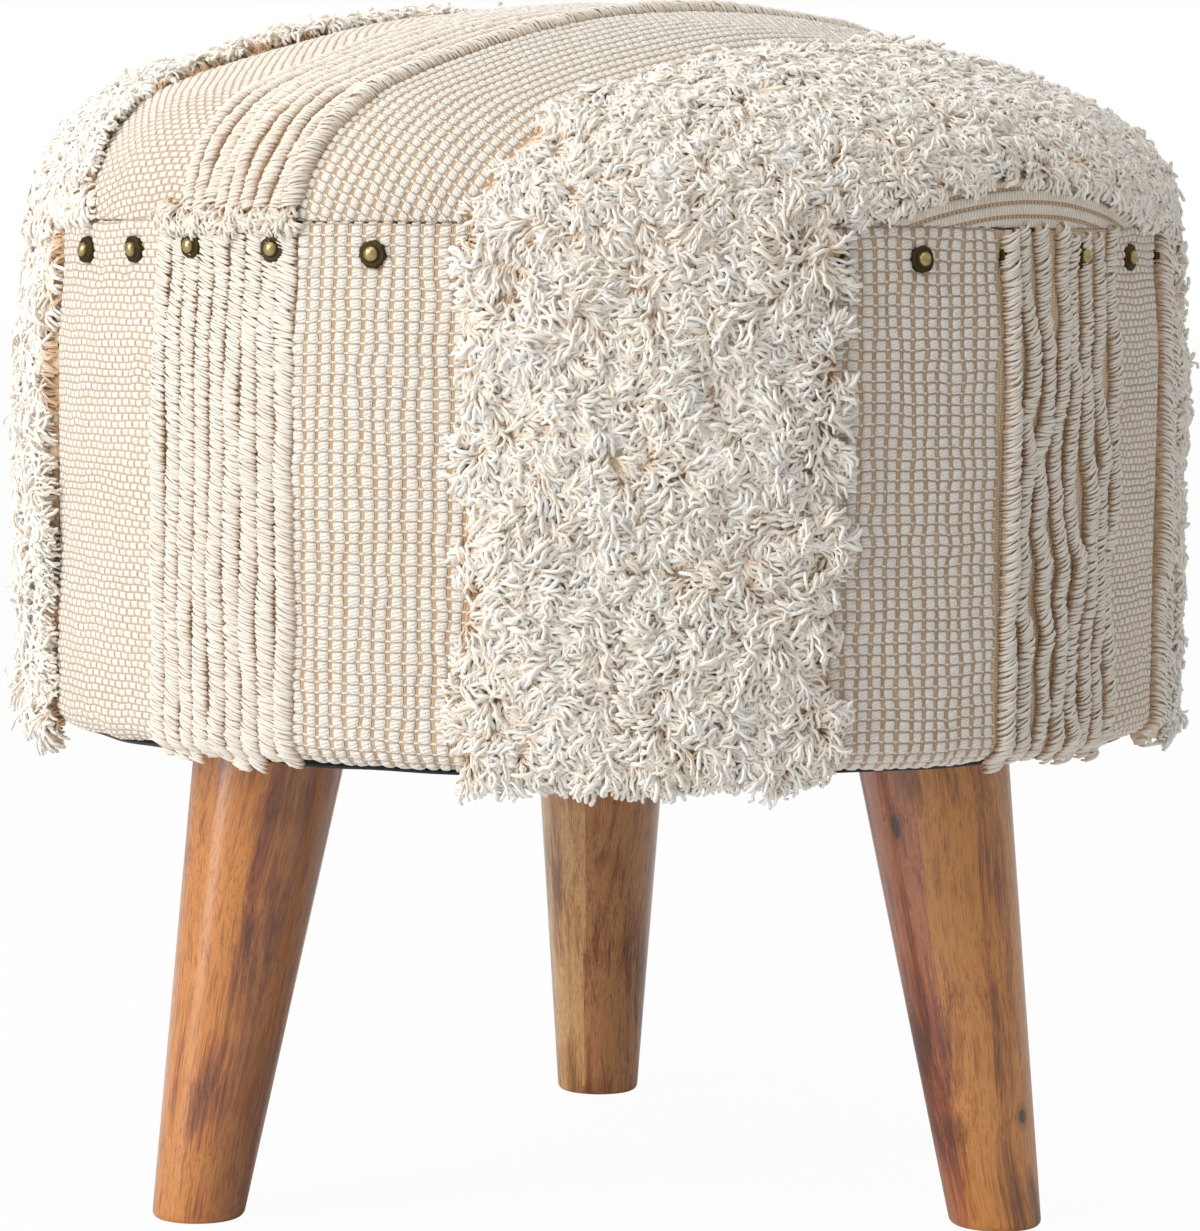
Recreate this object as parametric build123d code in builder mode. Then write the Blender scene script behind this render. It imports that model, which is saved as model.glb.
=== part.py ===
from build123d import *
import os
from math import cos, radians, sin, sqrt, tan

os.makedirs("parts", exist_ok=True)

# A round ottoman on three splayed legs. A padded plywood drum is wrapped in handwoven cotton with
# bands of cut pile and of loose cord ribs, and carries a crowned cushion under the same cloth.
# X points right, Y away from the viewer and Z up. The origin is on the floor under the drum's axis.
# Lengths are in millimetres and angles in degrees.

# Driving dimensions
leg_height = 180.0  # floor to the underside of the drum
drum_height = 186.0  # underside of the drum to the folded top edge of the side cloth
drum_radius = 214.0  # side cloth at its fullest
crown_rise = 80.5  # folded edge to the top of the woven crown
crown_angle = 20.0  # reach of the large crown arc, before the shoulder arc takes over
cushion_lip = 6.0  # folded edge to the widest line of the cushion
cushion_waist = 2.7  # how far the cushion stands in from the side cloth, at its widest line

# Frame
base_board_thickness = 15.0
seat_board_thickness = 18.0
wall_thickness = 3.0
wall_seam = 1.0
post_count = 6
post_start_angle = 30.0  # the posts stand between the legs and beside them
post_width = 38.0
post_depth = 20.0
brad_side = 1.6
brad_length = 45.0
brad_spacing = 20.0
fit_gap = 0.2  # between rigid pieces that meet on a curve
contact_gap = 0.1  # between flat faces that bear on each other

# Cloth, wadding and foam
cloth_thickness = 2.0
layer_gap = 0.3
waist_draw = 2.3  # how far the row of nails pulls the side cloth in
hem_depth = 20.0
waist_slope_height = 20.0
skirt_depth = 18.0
dust_cover_thickness = 1.0
dust_cover_margin = 14.0  # side of the drum to the dust cover's edge
foam_thickness = 40.0
foam_margin = 44.0  # side of the drum to the foam disc's edge

# Legs and their hardware
leg_splay = 9.6
leg_inset = 74.5  # side of the drum to the leg's axis, at the drum's underside
leg_foot_diameter = 33.4
leg_top_diameter = 57.0
leg_overrun = 12.0
leg_cloth_gap = 3.0
leg_hole_gap = 0.6
block_size = 70.0
block_height = 24.0
bolt_diameter = 8.0
bolt_grip = 40.0  # depth of the bolt in the leg
bolt_end_gap = 2.0
bolt_gap = 0.1
bolt_hole_gap = 0.4
bolt_proud = 2.0
nut_flange_diameter = 22.0
nut_flange_thickness = 1.5
nut_barrel_diameter = 10.0
nut_barrel_length = 11.0
block_brad_spacing = 50.0
block_brad_length = 30.0

# Decorative nails and staples
nail_count = 35
nail_start_angle = -1.6  # from the front, turning right
nail_drop = 10.0  # folded edge to the row of nails
nail_head_diameter = 9.5
nail_head_height = 2.5
nail_facets = 10
nail_tier_shares = ((0.0, 1.0), (0.65, 0.76), (1.0, 0.3))  # each tier's height and width in the head's
nail_shank_side = 1.8
nail_shank_length = 16.0
staple_width = 10.0
staple_wire = 0.8
staple_leg = 8.0
staple_count = 24

# Bands of pile and cord
stripe_angle = 45.0  # the crown's stripes run from front left to back right
pile_depth = 12.0
pile_gap = 0.3
pile_overhang = 8.0  # how far the side pile hangs below the drum
pile_edge = 5.0
pile_band_angle = 33.5
pile_band_centre = 4.35
cord_band_angle = 17.9
cord_band_centres = {"front_left": -38.6, "front_right": 49.05, "rear_right": 139.05, "rear_left": 229.05}
cord_count = 8
cord_width_share = 0.86
cord_rise = 3.0
cord_flank_angle = 62.0
top_cord_count = 9
top_cord_first = 0.0
top_cord_pitch = 6.9
top_cord_width = 5.6
top_cord_rise = 3.5
top_pile_depth = 10.0
top_pile_left = (-186.0, -65.0)
top_pile_right = (118.0, 204.0)

# Heights, from the floor up
rim_height = leg_height + drum_height
cloth_base = leg_height + dust_cover_thickness + layer_gap
board_lift = cloth_thickness + layer_gap  # underside of the turned-under cloth to the base board
base_board_bottom = cloth_base + board_lift
base_board_top = base_board_bottom + base_board_thickness
seat_board_top = rim_height - cloth_thickness - layer_gap
seat_board_bottom = seat_board_top - seat_board_thickness
nail_height = rim_height - nail_drop
hem_base = rim_height - hem_depth
waist_base = hem_base - waist_slope_height
shoulder_height = rim_height + cushion_lip
crown_top = rim_height + crown_rise

# Radii, from the outside in
waist_radius = drum_radius - waist_draw
hem_inner_radius = waist_radius - 2 * cloth_thickness
skirt_outer_radius = hem_inner_radius - layer_gap
skirt_inner_radius = skirt_outer_radius - cloth_thickness
wall_outer_radius = skirt_inner_radius - layer_gap
wall_inner_radius = wall_outer_radius - wall_thickness
board_radius = wall_inner_radius - fit_gap
cushion_radius = drum_radius - cushion_waist

# The crown is an arc about the drum's axis that runs on into a tighter shoulder arc, upright at its foot
crown_sin = sin(radians(crown_angle))
crown_cos = cos(radians(crown_angle))
crown_depth = crown_top - shoulder_height
arc_balance = crown_sin * crown_cos - (1 - crown_sin) * (1 - crown_cos)
crown_radius = (cushion_radius * crown_cos - crown_depth * (1 - crown_sin)) / arc_balance
shoulder_radius = (crown_depth - crown_radius * (1 - crown_cos)) / crown_cos
crown_chord_shares = (0.0, 0.5, 1.0)
shoulder_chord_shares = (0.5, 1.0)

leg_angles = {"left": -60.0, "right": 60.0, "rear": 180.0}


def direction(angle):
    """The unit vector that points outward at this angle from the front."""
    return Vector(sin(radians(angle)), -cos(radians(angle)), 0)


def tangent(angle):
    """The unit vector along the drum's side at this angle, turning right."""
    return Vector(cos(radians(angle)), sin(radians(angle)), 0)


def radial_plane(angle):
    """The upright plane through the drum's axis, with its x outward at this angle and its y up."""
    return Plane(origin=(0, 0, 0), x_dir=direction(angle), z_dir=-tangent(angle))


# Every leg's axis leans in as it rises, and passes the drum's underside at leg_inset from its side
leg_axis_radius = drum_radius - leg_inset


def axis_point(angle, height):
    """The point of a leg's axis at this height."""
    radius = leg_axis_radius + (leg_height - height) * tan(radians(leg_splay))
    return direction(angle) * radius + Vector(0, 0, height)


def axis_plane(angle, height):
    """The plane square to a leg's axis, with its x along the drum's side."""
    up = Vector(0, 0, cos(radians(leg_splay))) - direction(angle) * sin(radians(leg_splay))
    return Plane(origin=axis_point(angle, height), x_dir=tangent(angle), z_dir=up)


leg_top_height = base_board_bottom - contact_gap
leg_length = leg_height / cos(radians(leg_splay))
taper = (leg_top_diameter - leg_foot_diameter) / 2 / leg_length
nut_height = base_board_top + contact_gap + block_height


def build_leg(angle):
    foot_radius = leg_foot_diameter / 2 - taper * leg_overrun
    head_radius = leg_top_diameter / 2 + taper * leg_overrun
    foot_plane = axis_plane(angle, 0)
    with BuildPart() as leg:
        with BuildSketch(foot_plane.offset(-leg_overrun)):
            Circle(foot_radius)
        with BuildSketch(foot_plane.offset(leg_length + leg_overrun)):
            Circle(head_radius)
        loft()
        split(bisect_by=Plane.XY, keep=Keep.TOP)
        split(bisect_by=Plane.XY.offset(leg_top_height), keep=Keep.BOTTOM)
        with BuildSketch(axis_plane(angle, leg_top_height).offset(-bolt_grip - bolt_end_gap)):
            Circle(bolt_diameter / 2 + bolt_gap)
        extrude(amount=bolt_grip + bolt_end_gap + leg_overrun, mode=Mode.SUBTRACT)
    return leg.part


def build_leg_block(angle):
    """The wedge on the base board whose top is square to the leg's axis, bored for its bolt and nut."""
    plan = Plane(
        origin=axis_point(angle, base_board_top + contact_gap),
        x_dir=direction(angle),
        z_dir=(0, 0, 1),
    )
    nut_plane = axis_plane(angle, nut_height)
    with BuildPart() as block:
        with BuildSketch(plan):
            Rectangle(block_size, block_size)
        extrude(amount=2 * block_height)
        split(bisect_by=nut_plane, keep=Keep.BOTTOM)
        with Locations(nut_plane):
            CounterBoreHole(
                radius=bolt_diameter / 2 + bolt_hole_gap,
                counter_bore_radius=nut_barrel_diameter / 2 + bolt_gap,
                counter_bore_depth=nut_barrel_length + contact_gap,
                depth=2 * block_height,
            )
    return block.part


legs = {name: build_leg(angle) for name, angle in leg_angles.items()}
for name, leg in legs.items():
    leg.label = f"leg_{name}"
    export_step(leg, f"parts/leg_{name}.step")

leg_blocks = {name: build_leg_block(angle) for name, angle in leg_angles.items()}
for name, block in leg_blocks.items():
    block.label = f"leg_block_{name}"
    export_step(block, f"parts/leg_block_{name}.step")

# Hanger bolts run along the legs' axes, up through the board and the block into the nuts
bolt_rise = (nut_height - leg_top_height) / cos(radians(leg_splay))
bolt_length = bolt_grip + bolt_rise + nut_flange_thickness + bolt_proud
with BuildPart() as hanger_bolts:
    for angle in leg_angles.values():
        with BuildSketch(axis_plane(angle, leg_top_height).offset(-bolt_grip)):
            Circle(bolt_diameter / 2)
        extrude(amount=bolt_length)
hanger_bolts.part.label = "hanger_bolts"
export_step(hanger_bolts.part, "parts/hanger_bolts.step")

with BuildPart() as leg_nuts:
    for angle in leg_angles.values():
        nut_plane = axis_plane(angle, nut_height)
        with BuildSketch(nut_plane.offset(contact_gap)):
            Circle(nut_flange_diameter / 2)
        extrude(amount=nut_flange_thickness)
        with BuildSketch(nut_plane.offset(contact_gap)):
            Circle(nut_barrel_diameter / 2)
        extrude(amount=-nut_barrel_length)
        with Locations(nut_plane.offset(contact_gap + nut_flange_thickness)):
            Hole(bolt_diameter / 2 + bolt_gap, depth=nut_barrel_length + 2 * nut_flange_thickness)
leg_nuts.part.label = "leg_nuts"
export_step(leg_nuts.part, "parts/leg_nuts.step")

# Brads at the blocks' corners hold them to the board until the bolts clamp them
with BuildPart() as block_brads:
    for angle in leg_angles.values():
        with BuildSketch(axis_plane(angle, nut_height)):
            with GridLocations(block_brad_spacing, block_brad_spacing, 2, 2):
                Rectangle(brad_side, brad_side)
        extrude(amount=-block_brad_length)
block_brads.part.label = "block_brads"
export_step(block_brads.part, "parts/block_brads.step")

# The base board is bored aslant for the bolts
with BuildPart() as base_board:
    with BuildSketch(Plane.XY.offset(base_board_bottom)):
        Circle(board_radius)
    extrude(amount=base_board_thickness)
    for angle in leg_angles.values():
        with BuildSketch(axis_plane(angle, base_board_bottom)):
            Circle(bolt_diameter / 2 + bolt_hole_gap)
        extrude(amount=2 * base_board_thickness, both=True, mode=Mode.SUBTRACT)
base_board.part.label = "base_board"
export_step(base_board.part, "parts/base_board.step")

with BuildPart() as seat_board:
    with BuildSketch(Plane.XY.offset(seat_board_bottom)):
        Circle(board_radius)
    extrude(amount=seat_board_thickness)
seat_board.part.label = "seat_board"
export_step(seat_board.part, "parts/seat_board.step")

# Posts stand between the boards with their outer corners just inside the wall
post_outer = sqrt((wall_inner_radius - fit_gap) ** 2 - (post_width / 2) ** 2)
post_centre = post_outer - post_depth / 2
post_height = seat_board_bottom - base_board_top - 2 * contact_gap
post_angles = [post_start_angle + 360 * k / post_count for k in range(post_count)]


def post_plan(angle, height):
    """The level plane at a post's middle, with its x running outward."""
    middle = direction(angle) * post_centre + Vector(0, 0, height)
    return Plane(origin=middle, x_dir=direction(angle), z_dir=(0, 0, 1))


for number, angle in enumerate(post_angles, start=1):
    with BuildPart() as post:
        with BuildSketch(post_plan(angle, base_board_top + contact_gap)):
            Rectangle(post_depth, post_width)
        extrude(amount=post_height)
    post.part.label = f"post_{number}"
    export_step(post.part, f"parts/post_{number}.step")

# Square brads are driven through the boards into the posts' ends
with BuildPart() as post_brads:
    for angle in post_angles:
        with BuildSketch(post_plan(angle, base_board_bottom)):
            with GridLocations(0, brad_spacing, 1, 2):
                Rectangle(brad_side, brad_side)
        extrude(amount=brad_length)
        with BuildSketch(post_plan(angle, seat_board_top)):
            with GridLocations(0, brad_spacing, 1, 2):
                Rectangle(brad_side, brad_side)
        extrude(amount=-brad_length)
post_brads.part.label = "post_brads"
export_step(post_brads.part, "parts/post_brads.step")

# A hardboard sheet is bent round both boards and butts at a seam over one post
with BuildPart() as drum_wall:
    with BuildSketch(Plane.XY.offset(base_board_bottom)):
        Circle(wall_outer_radius)
        Circle(wall_inner_radius, mode=Mode.SUBTRACT)
    extrude(amount=seat_board_top - base_board_bottom)
    seam_plane = Plane(origin=(0, 0, base_board_bottom), x_dir=direction(post_angles[-1]), z_dir=(0, 0, 1))
    with BuildSketch(seam_plane):
        with Locations((wall_outer_radius, 0)):
            Rectangle(3 * wall_thickness, wall_seam)
    extrude(amount=seat_board_top - base_board_bottom, mode=Mode.SUBTRACT)
drum_wall.part.label = "drum_wall"
export_step(drum_wall.part, "parts/drum_wall.step")


def revolved(*outline):
    """A closed ring or dome from the points of its half section, given as (radius, height)."""
    with BuildPart() as ring:
        with BuildSketch(Plane.XZ):
            with BuildLine():
                Polyline(*outline, close=True)
            make_face()
        revolve(axis=Axis.Z)
    return ring.part


# The side cloth is turned under at the foot, where it just clears the wall's lower corner, leans in to
# the row of nails and ends in a hem folded to twice its thickness
slant = cloth_thickness * (sqrt(2) - 1)
foot_bevel = (drum_radius - wall_outer_radius) + board_lift - (cloth_thickness + layer_gap) * sqrt(2)
cloth_end_radius = leg_axis_radius + leg_top_diameter / 2 / cos(radians(leg_splay)) + leg_cloth_gap
side_cover = revolved(
    (cloth_end_radius, cloth_base),
    (drum_radius - foot_bevel, cloth_base),
    (drum_radius, cloth_base + foot_bevel),
    (drum_radius, waist_base),
    (waist_radius, hem_base),
    (waist_radius, rim_height - cloth_thickness),
    (waist_radius - cloth_thickness, rim_height),
    (hem_inner_radius, rim_height - cloth_thickness),
    (hem_inner_radius, hem_base),
    (waist_radius - cloth_thickness, hem_base),
    (drum_radius - cloth_thickness, waist_base),
    (drum_radius - cloth_thickness, cloth_base + foot_bevel + slant),
    (drum_radius - foot_bevel - slant, cloth_base + cloth_thickness),
    (cloth_end_radius, cloth_base + cloth_thickness),
)
side_cover.label = "side_cover"
export_step(side_cover, "parts/side_cover.step")

wadding_radius = drum_radius - cloth_thickness - layer_gap
side_wadding = revolved(
    (wall_outer_radius + layer_gap, cloth_base + foot_bevel + slant),
    (wadding_radius, cloth_base + foot_bevel + slant),
    (wadding_radius, waist_base),
    (wadding_radius - waist_draw, hem_base - layer_gap),
    (wall_outer_radius + layer_gap, hem_base - layer_gap),
)
side_wadding.label = "side_wadding"
export_step(side_wadding, "parts/side_wadding.step")


def crown_point(angle, inset):
    """A point of the crown's half section, moved in by inset, at this angle from upright."""
    if angle <= crown_angle:
        reach = crown_radius - inset
        return (reach * sin(radians(angle)), crown_top - crown_radius + reach * cos(radians(angle)))
    centre = ((crown_radius - shoulder_radius) * crown_sin, shoulder_height)
    reach = shoulder_radius - inset
    return (centre[0] + reach * sin(radians(angle)), centre[1] + reach * cos(radians(angle)))


shoulder_angle = 90 - crown_angle
chord_angles = [crown_angle * share for share in crown_chord_shares]
chord_angles += [crown_angle + shoulder_angle * share for share in shoulder_chord_shares]


# The top cloth's skirt runs down inside the hem of the side cloth, where the nails hold it
with BuildPart() as top_cover:
    with BuildSketch(Plane.XZ):
        with BuildLine():
            crown = JernArc((0, crown_top), (1, 0), crown_radius, -crown_angle)
            shoulder = JernArc(crown @ 1, crown % 1, shoulder_radius, -shoulder_angle)
            Polyline(
                shoulder @ 1,
                (skirt_outer_radius, rim_height),
                (skirt_outer_radius, rim_height - skirt_depth),
                (skirt_inner_radius, rim_height - skirt_depth),
                (skirt_inner_radius, rim_height),
                *[crown_point(angle, cloth_thickness) for angle in reversed(chord_angles)],
                crown @ 0,
            )
        make_face()
    revolve(axis=Axis.Z)
top_cover.part.label = "top_cover"
export_step(top_cover.part, "parts/top_cover.step")

# A flat foam disc lies on the seat board, and crowned fibre fill covers it down to the board's edge
foam_radius = drum_radius - foam_margin
with BuildPart() as seat_foam:
    with BuildSketch(Plane.XY.offset(seat_board_top + contact_gap)):
        Circle(foam_radius)
    extrude(amount=foam_thickness)
seat_foam.part.label = "seat_foam"
export_step(seat_foam.part, "parts/seat_foam.step")

foam_top = seat_board_top + contact_gap + foam_thickness
crown_fill = revolved(
    (0, foam_top + layer_gap),
    (foam_radius + layer_gap, foam_top + layer_gap),
    (foam_radius + layer_gap, seat_board_top + contact_gap),
    (skirt_inner_radius - layer_gap, seat_board_top + contact_gap),
    (skirt_inner_radius - layer_gap, rim_height),
    *[crown_point(angle, cloth_thickness + layer_gap) for angle in reversed(chord_angles)],
)
crown_fill.label = "crown_fill"
export_step(crown_fill, "parts/crown_fill.step")

# The dust cover closes the underside, and the legs pass through it
leg_hole_radius = leg_top_diameter / 2 + leg_hole_gap
with BuildPart() as dust_cover:
    with BuildSketch(Plane.XY.offset(leg_height)):
        Circle(drum_radius - dust_cover_margin)
    extrude(amount=dust_cover_thickness)
    for angle in leg_angles.values():
        with BuildSketch(axis_plane(angle, leg_height)):
            Circle(leg_hole_radius)
        extrude(amount=leg_overrun, both=True, mode=Mode.SUBTRACT)
dust_cover.part.label = "dust_cover"
export_step(dust_cover.part, "parts/dust_cover.step")


def staples(radius, height, turn):
    """A ring of staples driven upward, with the undersides of their crowns at this height."""
    with BuildPart() as ring:
        for k in range(staple_count):
            angle = turn + 360 * k / staple_count
            middle = direction(angle) * radius + Vector(0, 0, height)
            with BuildSketch(Plane(origin=middle, x_dir=tangent(angle), z_dir=direction(angle))):
                Rectangle(staple_width, staple_leg, align=(Align.CENTER, Align.MIN))
                with Locations((0, staple_wire)):
                    Rectangle(
                        staple_width - 2 * staple_wire,
                        staple_leg,
                        align=(Align.CENTER, Align.MIN),
                        mode=Mode.SUBTRACT,
                    )
            extrude(amount=staple_wire / 2, both=True)
    return ring.part


staple_step = 360 / staple_count
side_cover_staples = staples(cloth_end_radius + staple_width, cloth_base, 0)
side_cover_staples.label = "side_cover_staples"
export_step(side_cover_staples, "parts/side_cover_staples.step")

dust_staple_radius = drum_radius - dust_cover_margin - staple_width / 2
dust_cover_staples = staples(dust_staple_radius, leg_height - staple_wire, staple_step / 2)
dust_cover_staples.label = "dust_cover_staples"
export_step(dust_cover_staples, "parts/dust_cover_staples.step")

# Nails with high, beaten heads hold the hem over the top cloth's skirt, with their points in the seat
# board's edge. Each head rises in two tiers of facets
nail_seat = waist_radius + contact_gap
with BuildPart() as nail:
    for low, high in zip(nail_tier_shares, nail_tier_shares[1:]):
        for height_share, width_share in (low, high):
            with BuildSketch(Plane.XY.offset(nail_head_height * height_share)):
                RegularPolygon(nail_head_diameter / 2 * width_share, nail_facets)
        loft()
    with BuildSketch():
        Rectangle(nail_shank_side, nail_shank_side)
    extrude(amount=-nail_shank_length)
with BuildPart() as dome_nails:
    for k in range(nail_count):
        angle = nail_start_angle + 360 * k / nail_count
        middle = direction(angle) * nail_seat + Vector(0, 0, nail_height)
        add(nail.part.moved(Location(Plane(origin=middle, x_dir=tangent(angle), z_dir=direction(angle)))))
dome_nails.part.label = "dome_nails"
export_step(dome_nails.part, "parts/dome_nails.step")


def cord_section(width, rise):
    """The section of a cord that lies on the cloth, flat below, with its flanks sloping to a flat crest."""
    with BuildSketch() as section:
        Trapezoid(width, rise, cord_flank_angle, align=(Align.CENTER, Align.MIN))
    return section.sketch


# Loose ribs of cord run down the side, from under the nails to the turned foot
cord_step = cord_band_angle / cord_count
cord_width = cord_width_share * drum_radius * radians(cord_step)
cord_head = nail_height - nail_head_diameter / 2 - pile_gap
for name, centre in cord_band_centres.items():
    with BuildPart() as cord_band:
        for k in range(cord_count):
            angle = centre + (k - (cord_count - 1) / 2) * cord_step
            with BuildLine(radial_plane(angle)) as path:
                Polyline(
                    (drum_radius + layer_gap, cloth_base + foot_bevel),
                    (drum_radius + layer_gap, waist_base),
                    (waist_radius + layer_gap, hem_base),
                    (waist_radius + layer_gap, cord_head),
                )
            with BuildSketch(Plane(origin=path.line @ 0, x_dir=-tangent(angle), z_dir=(0, 0, 1))):
                add(cord_section(cord_width, cord_rise))
            sweep(path=path.line, transition=Transition.RIGHT)
    cord_band.part.label = f"cord_band_{name}"
    export_step(cord_band.part, f"parts/cord_band_{name}.step")

# Bands of cut pile hang over the nails and below the foot of the drum
pile_inner = max(drum_radius, nail_seat + nail_head_height) + pile_gap
pile_outer = pile_inner + pile_depth
pile_top = rim_height + pile_gap
pile_foot = leg_height - pile_overhang
for quarter, name in enumerate(("front", "right", "rear", "left")):
    with BuildPart() as pile_band:
        with BuildSketch(radial_plane(pile_band_centre + 90 * quarter - pile_band_angle / 2)):
            with BuildLine():
                Polyline(
                    (pile_inner, pile_foot),
                    (pile_outer - pile_edge, pile_foot),
                    (pile_outer, pile_foot + pile_edge),
                    (pile_outer, pile_top - pile_edge),
                    (pile_outer - pile_edge, pile_top),
                    (pile_inner, pile_top),
                    close=True,
                )
            make_face()
        revolve(axis=Axis.Z, revolution_arc=pile_band_angle)
    pile_band.part.label = f"pile_band_{name}"
    export_step(pile_band.part, f"parts/pile_band_{name}.step")

# The crown's stripes are slices of a shell over the top cloth, between planes set this far from its middle
across = direction(stripe_angle)
along = tangent(stripe_angle)
chord_sag = max(
    crown_radius * (1 - cos(radians(crown_angle / 4))),
    shoulder_radius * (1 - cos(radians(shoulder_angle / 4))),
)
pile_shell = revolved(
    *[crown_point(angle, -pile_gap - chord_sag) for angle in chord_angles],
    *[crown_point(angle, -top_pile_depth) for angle in reversed(chord_angles)],
)
for name, (near, far) in {"left": top_pile_left, "right": top_pile_right}.items():
    with BuildPart() as top_pile:
        add(pile_shell)
        split(bisect_by=Plane(origin=across * near, z_dir=across), keep=Keep.TOP)
        split(bisect_by=Plane(origin=across * far, z_dir=across), keep=Keep.BOTTOM)
    top_pile.part.label = f"top_pile_{name}"
    export_step(top_pile.part, f"parts/top_pile_{name}.step")


def tangent_middle(start, centre, end):
    """The middle point of the arc that goes on from start, on a circle about centre, and ends at end."""
    normal = (Vector(start) - Vector(centre)).normalized()
    chord = Vector(end) - Vector(start)
    arc_radius = -chord.length**2 / (2 * chord.dot(normal))
    arc_centre = Vector(start) - normal * arc_radius
    middle = arc_centre + (Vector(start) + Vector(end) - arc_centre * 2).normalized() * arc_radius
    return (middle.X, middle.Y)


# Cords of the crown follow its two arcs from rim to rim, each in its own upright plane. Away from the
# middle the crown slopes across a cord, which is lifted until its lower edge clears the cloth
crown_centre = (0, crown_top - crown_radius)
with BuildPart() as top_cords:
    for k in range(top_cord_count):
        offset = top_cord_first + k * top_cord_pitch
        lift = layer_gap + top_cord_width / 2 * offset / sqrt(cushion_radius**2 - offset**2)
        reach = crown_radius + lift
        crest = (0, crown_centre[1] + sqrt(reach**2 - offset**2))
        bend = (sqrt((reach * crown_sin) ** 2 - offset**2), crown_centre[1] + reach * crown_cos)
        foot = (sqrt((cushion_radius + lift) ** 2 - offset**2), shoulder_height)
        middle = tangent_middle(bend, crown_centre, foot)
        with BuildLine(Plane(origin=across * offset, x_dir=along, z_dir=across)) as path:
            ThreePointArc((-bend[0], bend[1]), crest, bend)
            ThreePointArc(bend, middle, foot)
            near_side = ThreePointArc((-bend[0], bend[1]), (-middle[0], middle[1]), (-foot[0], foot[1]))
        with BuildSketch(Plane(origin=near_side @ 1, x_dir=-across, z_dir=-(near_side % 1))):
            add(cord_section(top_cord_width, top_cord_rise))
        sweep(path=path.line)
top_cords.part.label = "top_cords"
export_step(top_cords.part, "parts/top_cords.step")
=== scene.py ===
import math

import bpy
import numpy as np
from mathutils import Matrix, Vector


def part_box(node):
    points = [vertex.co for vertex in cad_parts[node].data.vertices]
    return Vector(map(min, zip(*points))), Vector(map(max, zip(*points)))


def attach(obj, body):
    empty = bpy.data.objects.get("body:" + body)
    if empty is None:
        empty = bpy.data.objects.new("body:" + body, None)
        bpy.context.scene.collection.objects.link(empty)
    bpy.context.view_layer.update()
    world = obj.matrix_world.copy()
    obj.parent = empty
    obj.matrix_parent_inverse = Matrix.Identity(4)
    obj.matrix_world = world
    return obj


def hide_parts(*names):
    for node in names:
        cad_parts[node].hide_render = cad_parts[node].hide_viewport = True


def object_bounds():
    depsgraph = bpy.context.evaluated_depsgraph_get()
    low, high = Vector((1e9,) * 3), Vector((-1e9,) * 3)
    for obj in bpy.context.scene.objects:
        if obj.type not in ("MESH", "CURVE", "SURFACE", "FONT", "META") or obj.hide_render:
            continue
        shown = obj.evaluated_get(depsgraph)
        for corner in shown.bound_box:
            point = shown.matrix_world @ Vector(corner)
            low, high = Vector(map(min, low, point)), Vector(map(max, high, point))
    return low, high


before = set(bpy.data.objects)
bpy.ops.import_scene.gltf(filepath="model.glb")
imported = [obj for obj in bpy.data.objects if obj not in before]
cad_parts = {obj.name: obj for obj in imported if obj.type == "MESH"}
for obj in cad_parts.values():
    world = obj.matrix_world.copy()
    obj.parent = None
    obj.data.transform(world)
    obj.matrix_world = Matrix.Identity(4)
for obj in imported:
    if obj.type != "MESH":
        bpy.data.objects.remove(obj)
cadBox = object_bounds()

# A round ottoman in undyed handwoven cotton, with bands of shag pile and of cords, on three wooden legs.
# Metres, X right, Y away from the viewer, Z up, and angles in degrees from the front, turning right

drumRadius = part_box("side_cover")[1].x
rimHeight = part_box("side_cover")[1].z  # folded top edge of the side cloth
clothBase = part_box("side_cover")[0].z  # cloth turned under the drum
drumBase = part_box("dust_cover")[0].z
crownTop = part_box("top_cover")[1].z
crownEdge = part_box("top_cover")[1].x  # the cushion at its widest
floorHeight = cadBox[0][2]
waist = drumRadius - 0.0023  # the side cloth's radius at its rim
footCorner = 0.0085  # rounding of the side cloth's foot
toDegrees = 180 / math.pi / drumRadius  # degrees round the drum in a metre of its cloth


# small helpers

def outward(angle):
    turn = np.radians(angle)
    return np.stack([np.sin(turn), -np.cos(turn), np.zeros_like(turn)], -1)


def along(angle):
    turn = np.radians(angle)
    return np.stack([np.cos(turn), np.sin(turn), np.zeros_like(turn)], -1)


def unit(vectors):
    return vectors / np.maximum(np.linalg.norm(vectors, axis=-1, keepdims=True), 1e-12)


noiseTable = np.random.default_rng(5).random((64, 64))


def softNoise(x, y, shift=0):
    # smooth values from 0 to 1 that change over one unit of x and y
    x, y = np.broadcast_arrays(np.asarray(x, float) + shift * 7.31, np.asarray(y, float) + shift * 3.77)
    left, low = np.floor(x).astype(int), np.floor(y).astype(int)
    fx, fy = x - left, y - low
    fx, fy = fx * fx * (3 - 2 * fx), fy * fy * (3 - 2 * fy)
    a, b = (noiseTable[left % 64, row % 64] * (1 - fx) + noiseTable[(left + 1) % 64, row % 64] * fx
            for row in (low, low + 1))
    return a * (1 - fy) + b * fy


def gridFaces(rows, columns, closed=False):
    # quads of a grid whose points run row by row
    r = np.arange(rows - 1)[:, None]
    c = np.arange(columns if closed else columns - 1)[None, :]
    after = (c + 1) % columns
    quads = [r * columns + c, r * columns + after, (r + 1) * columns + after, (r + 1) * columns + c]
    return np.stack(quads, -1).reshape(-1, 4)


def fanFaces(first, sides, middle, turned=False):
    # triangles from a ring of points, numbered on from the first, to a middle point
    ring = np.arange(sides)
    after = (ring + 1) % sides
    pair = (after, ring) if turned else (ring, after)
    return np.stack([first + pair[0], first + pair[1], np.full(sides, middle)], -1)


def repeatFaces(faces, count, step):
    # the same faces on each of this many parts, which have this many points each
    return (faces[None] + np.arange(count)[:, None, None] * step).reshape(-1, faces.shape[1])


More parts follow.
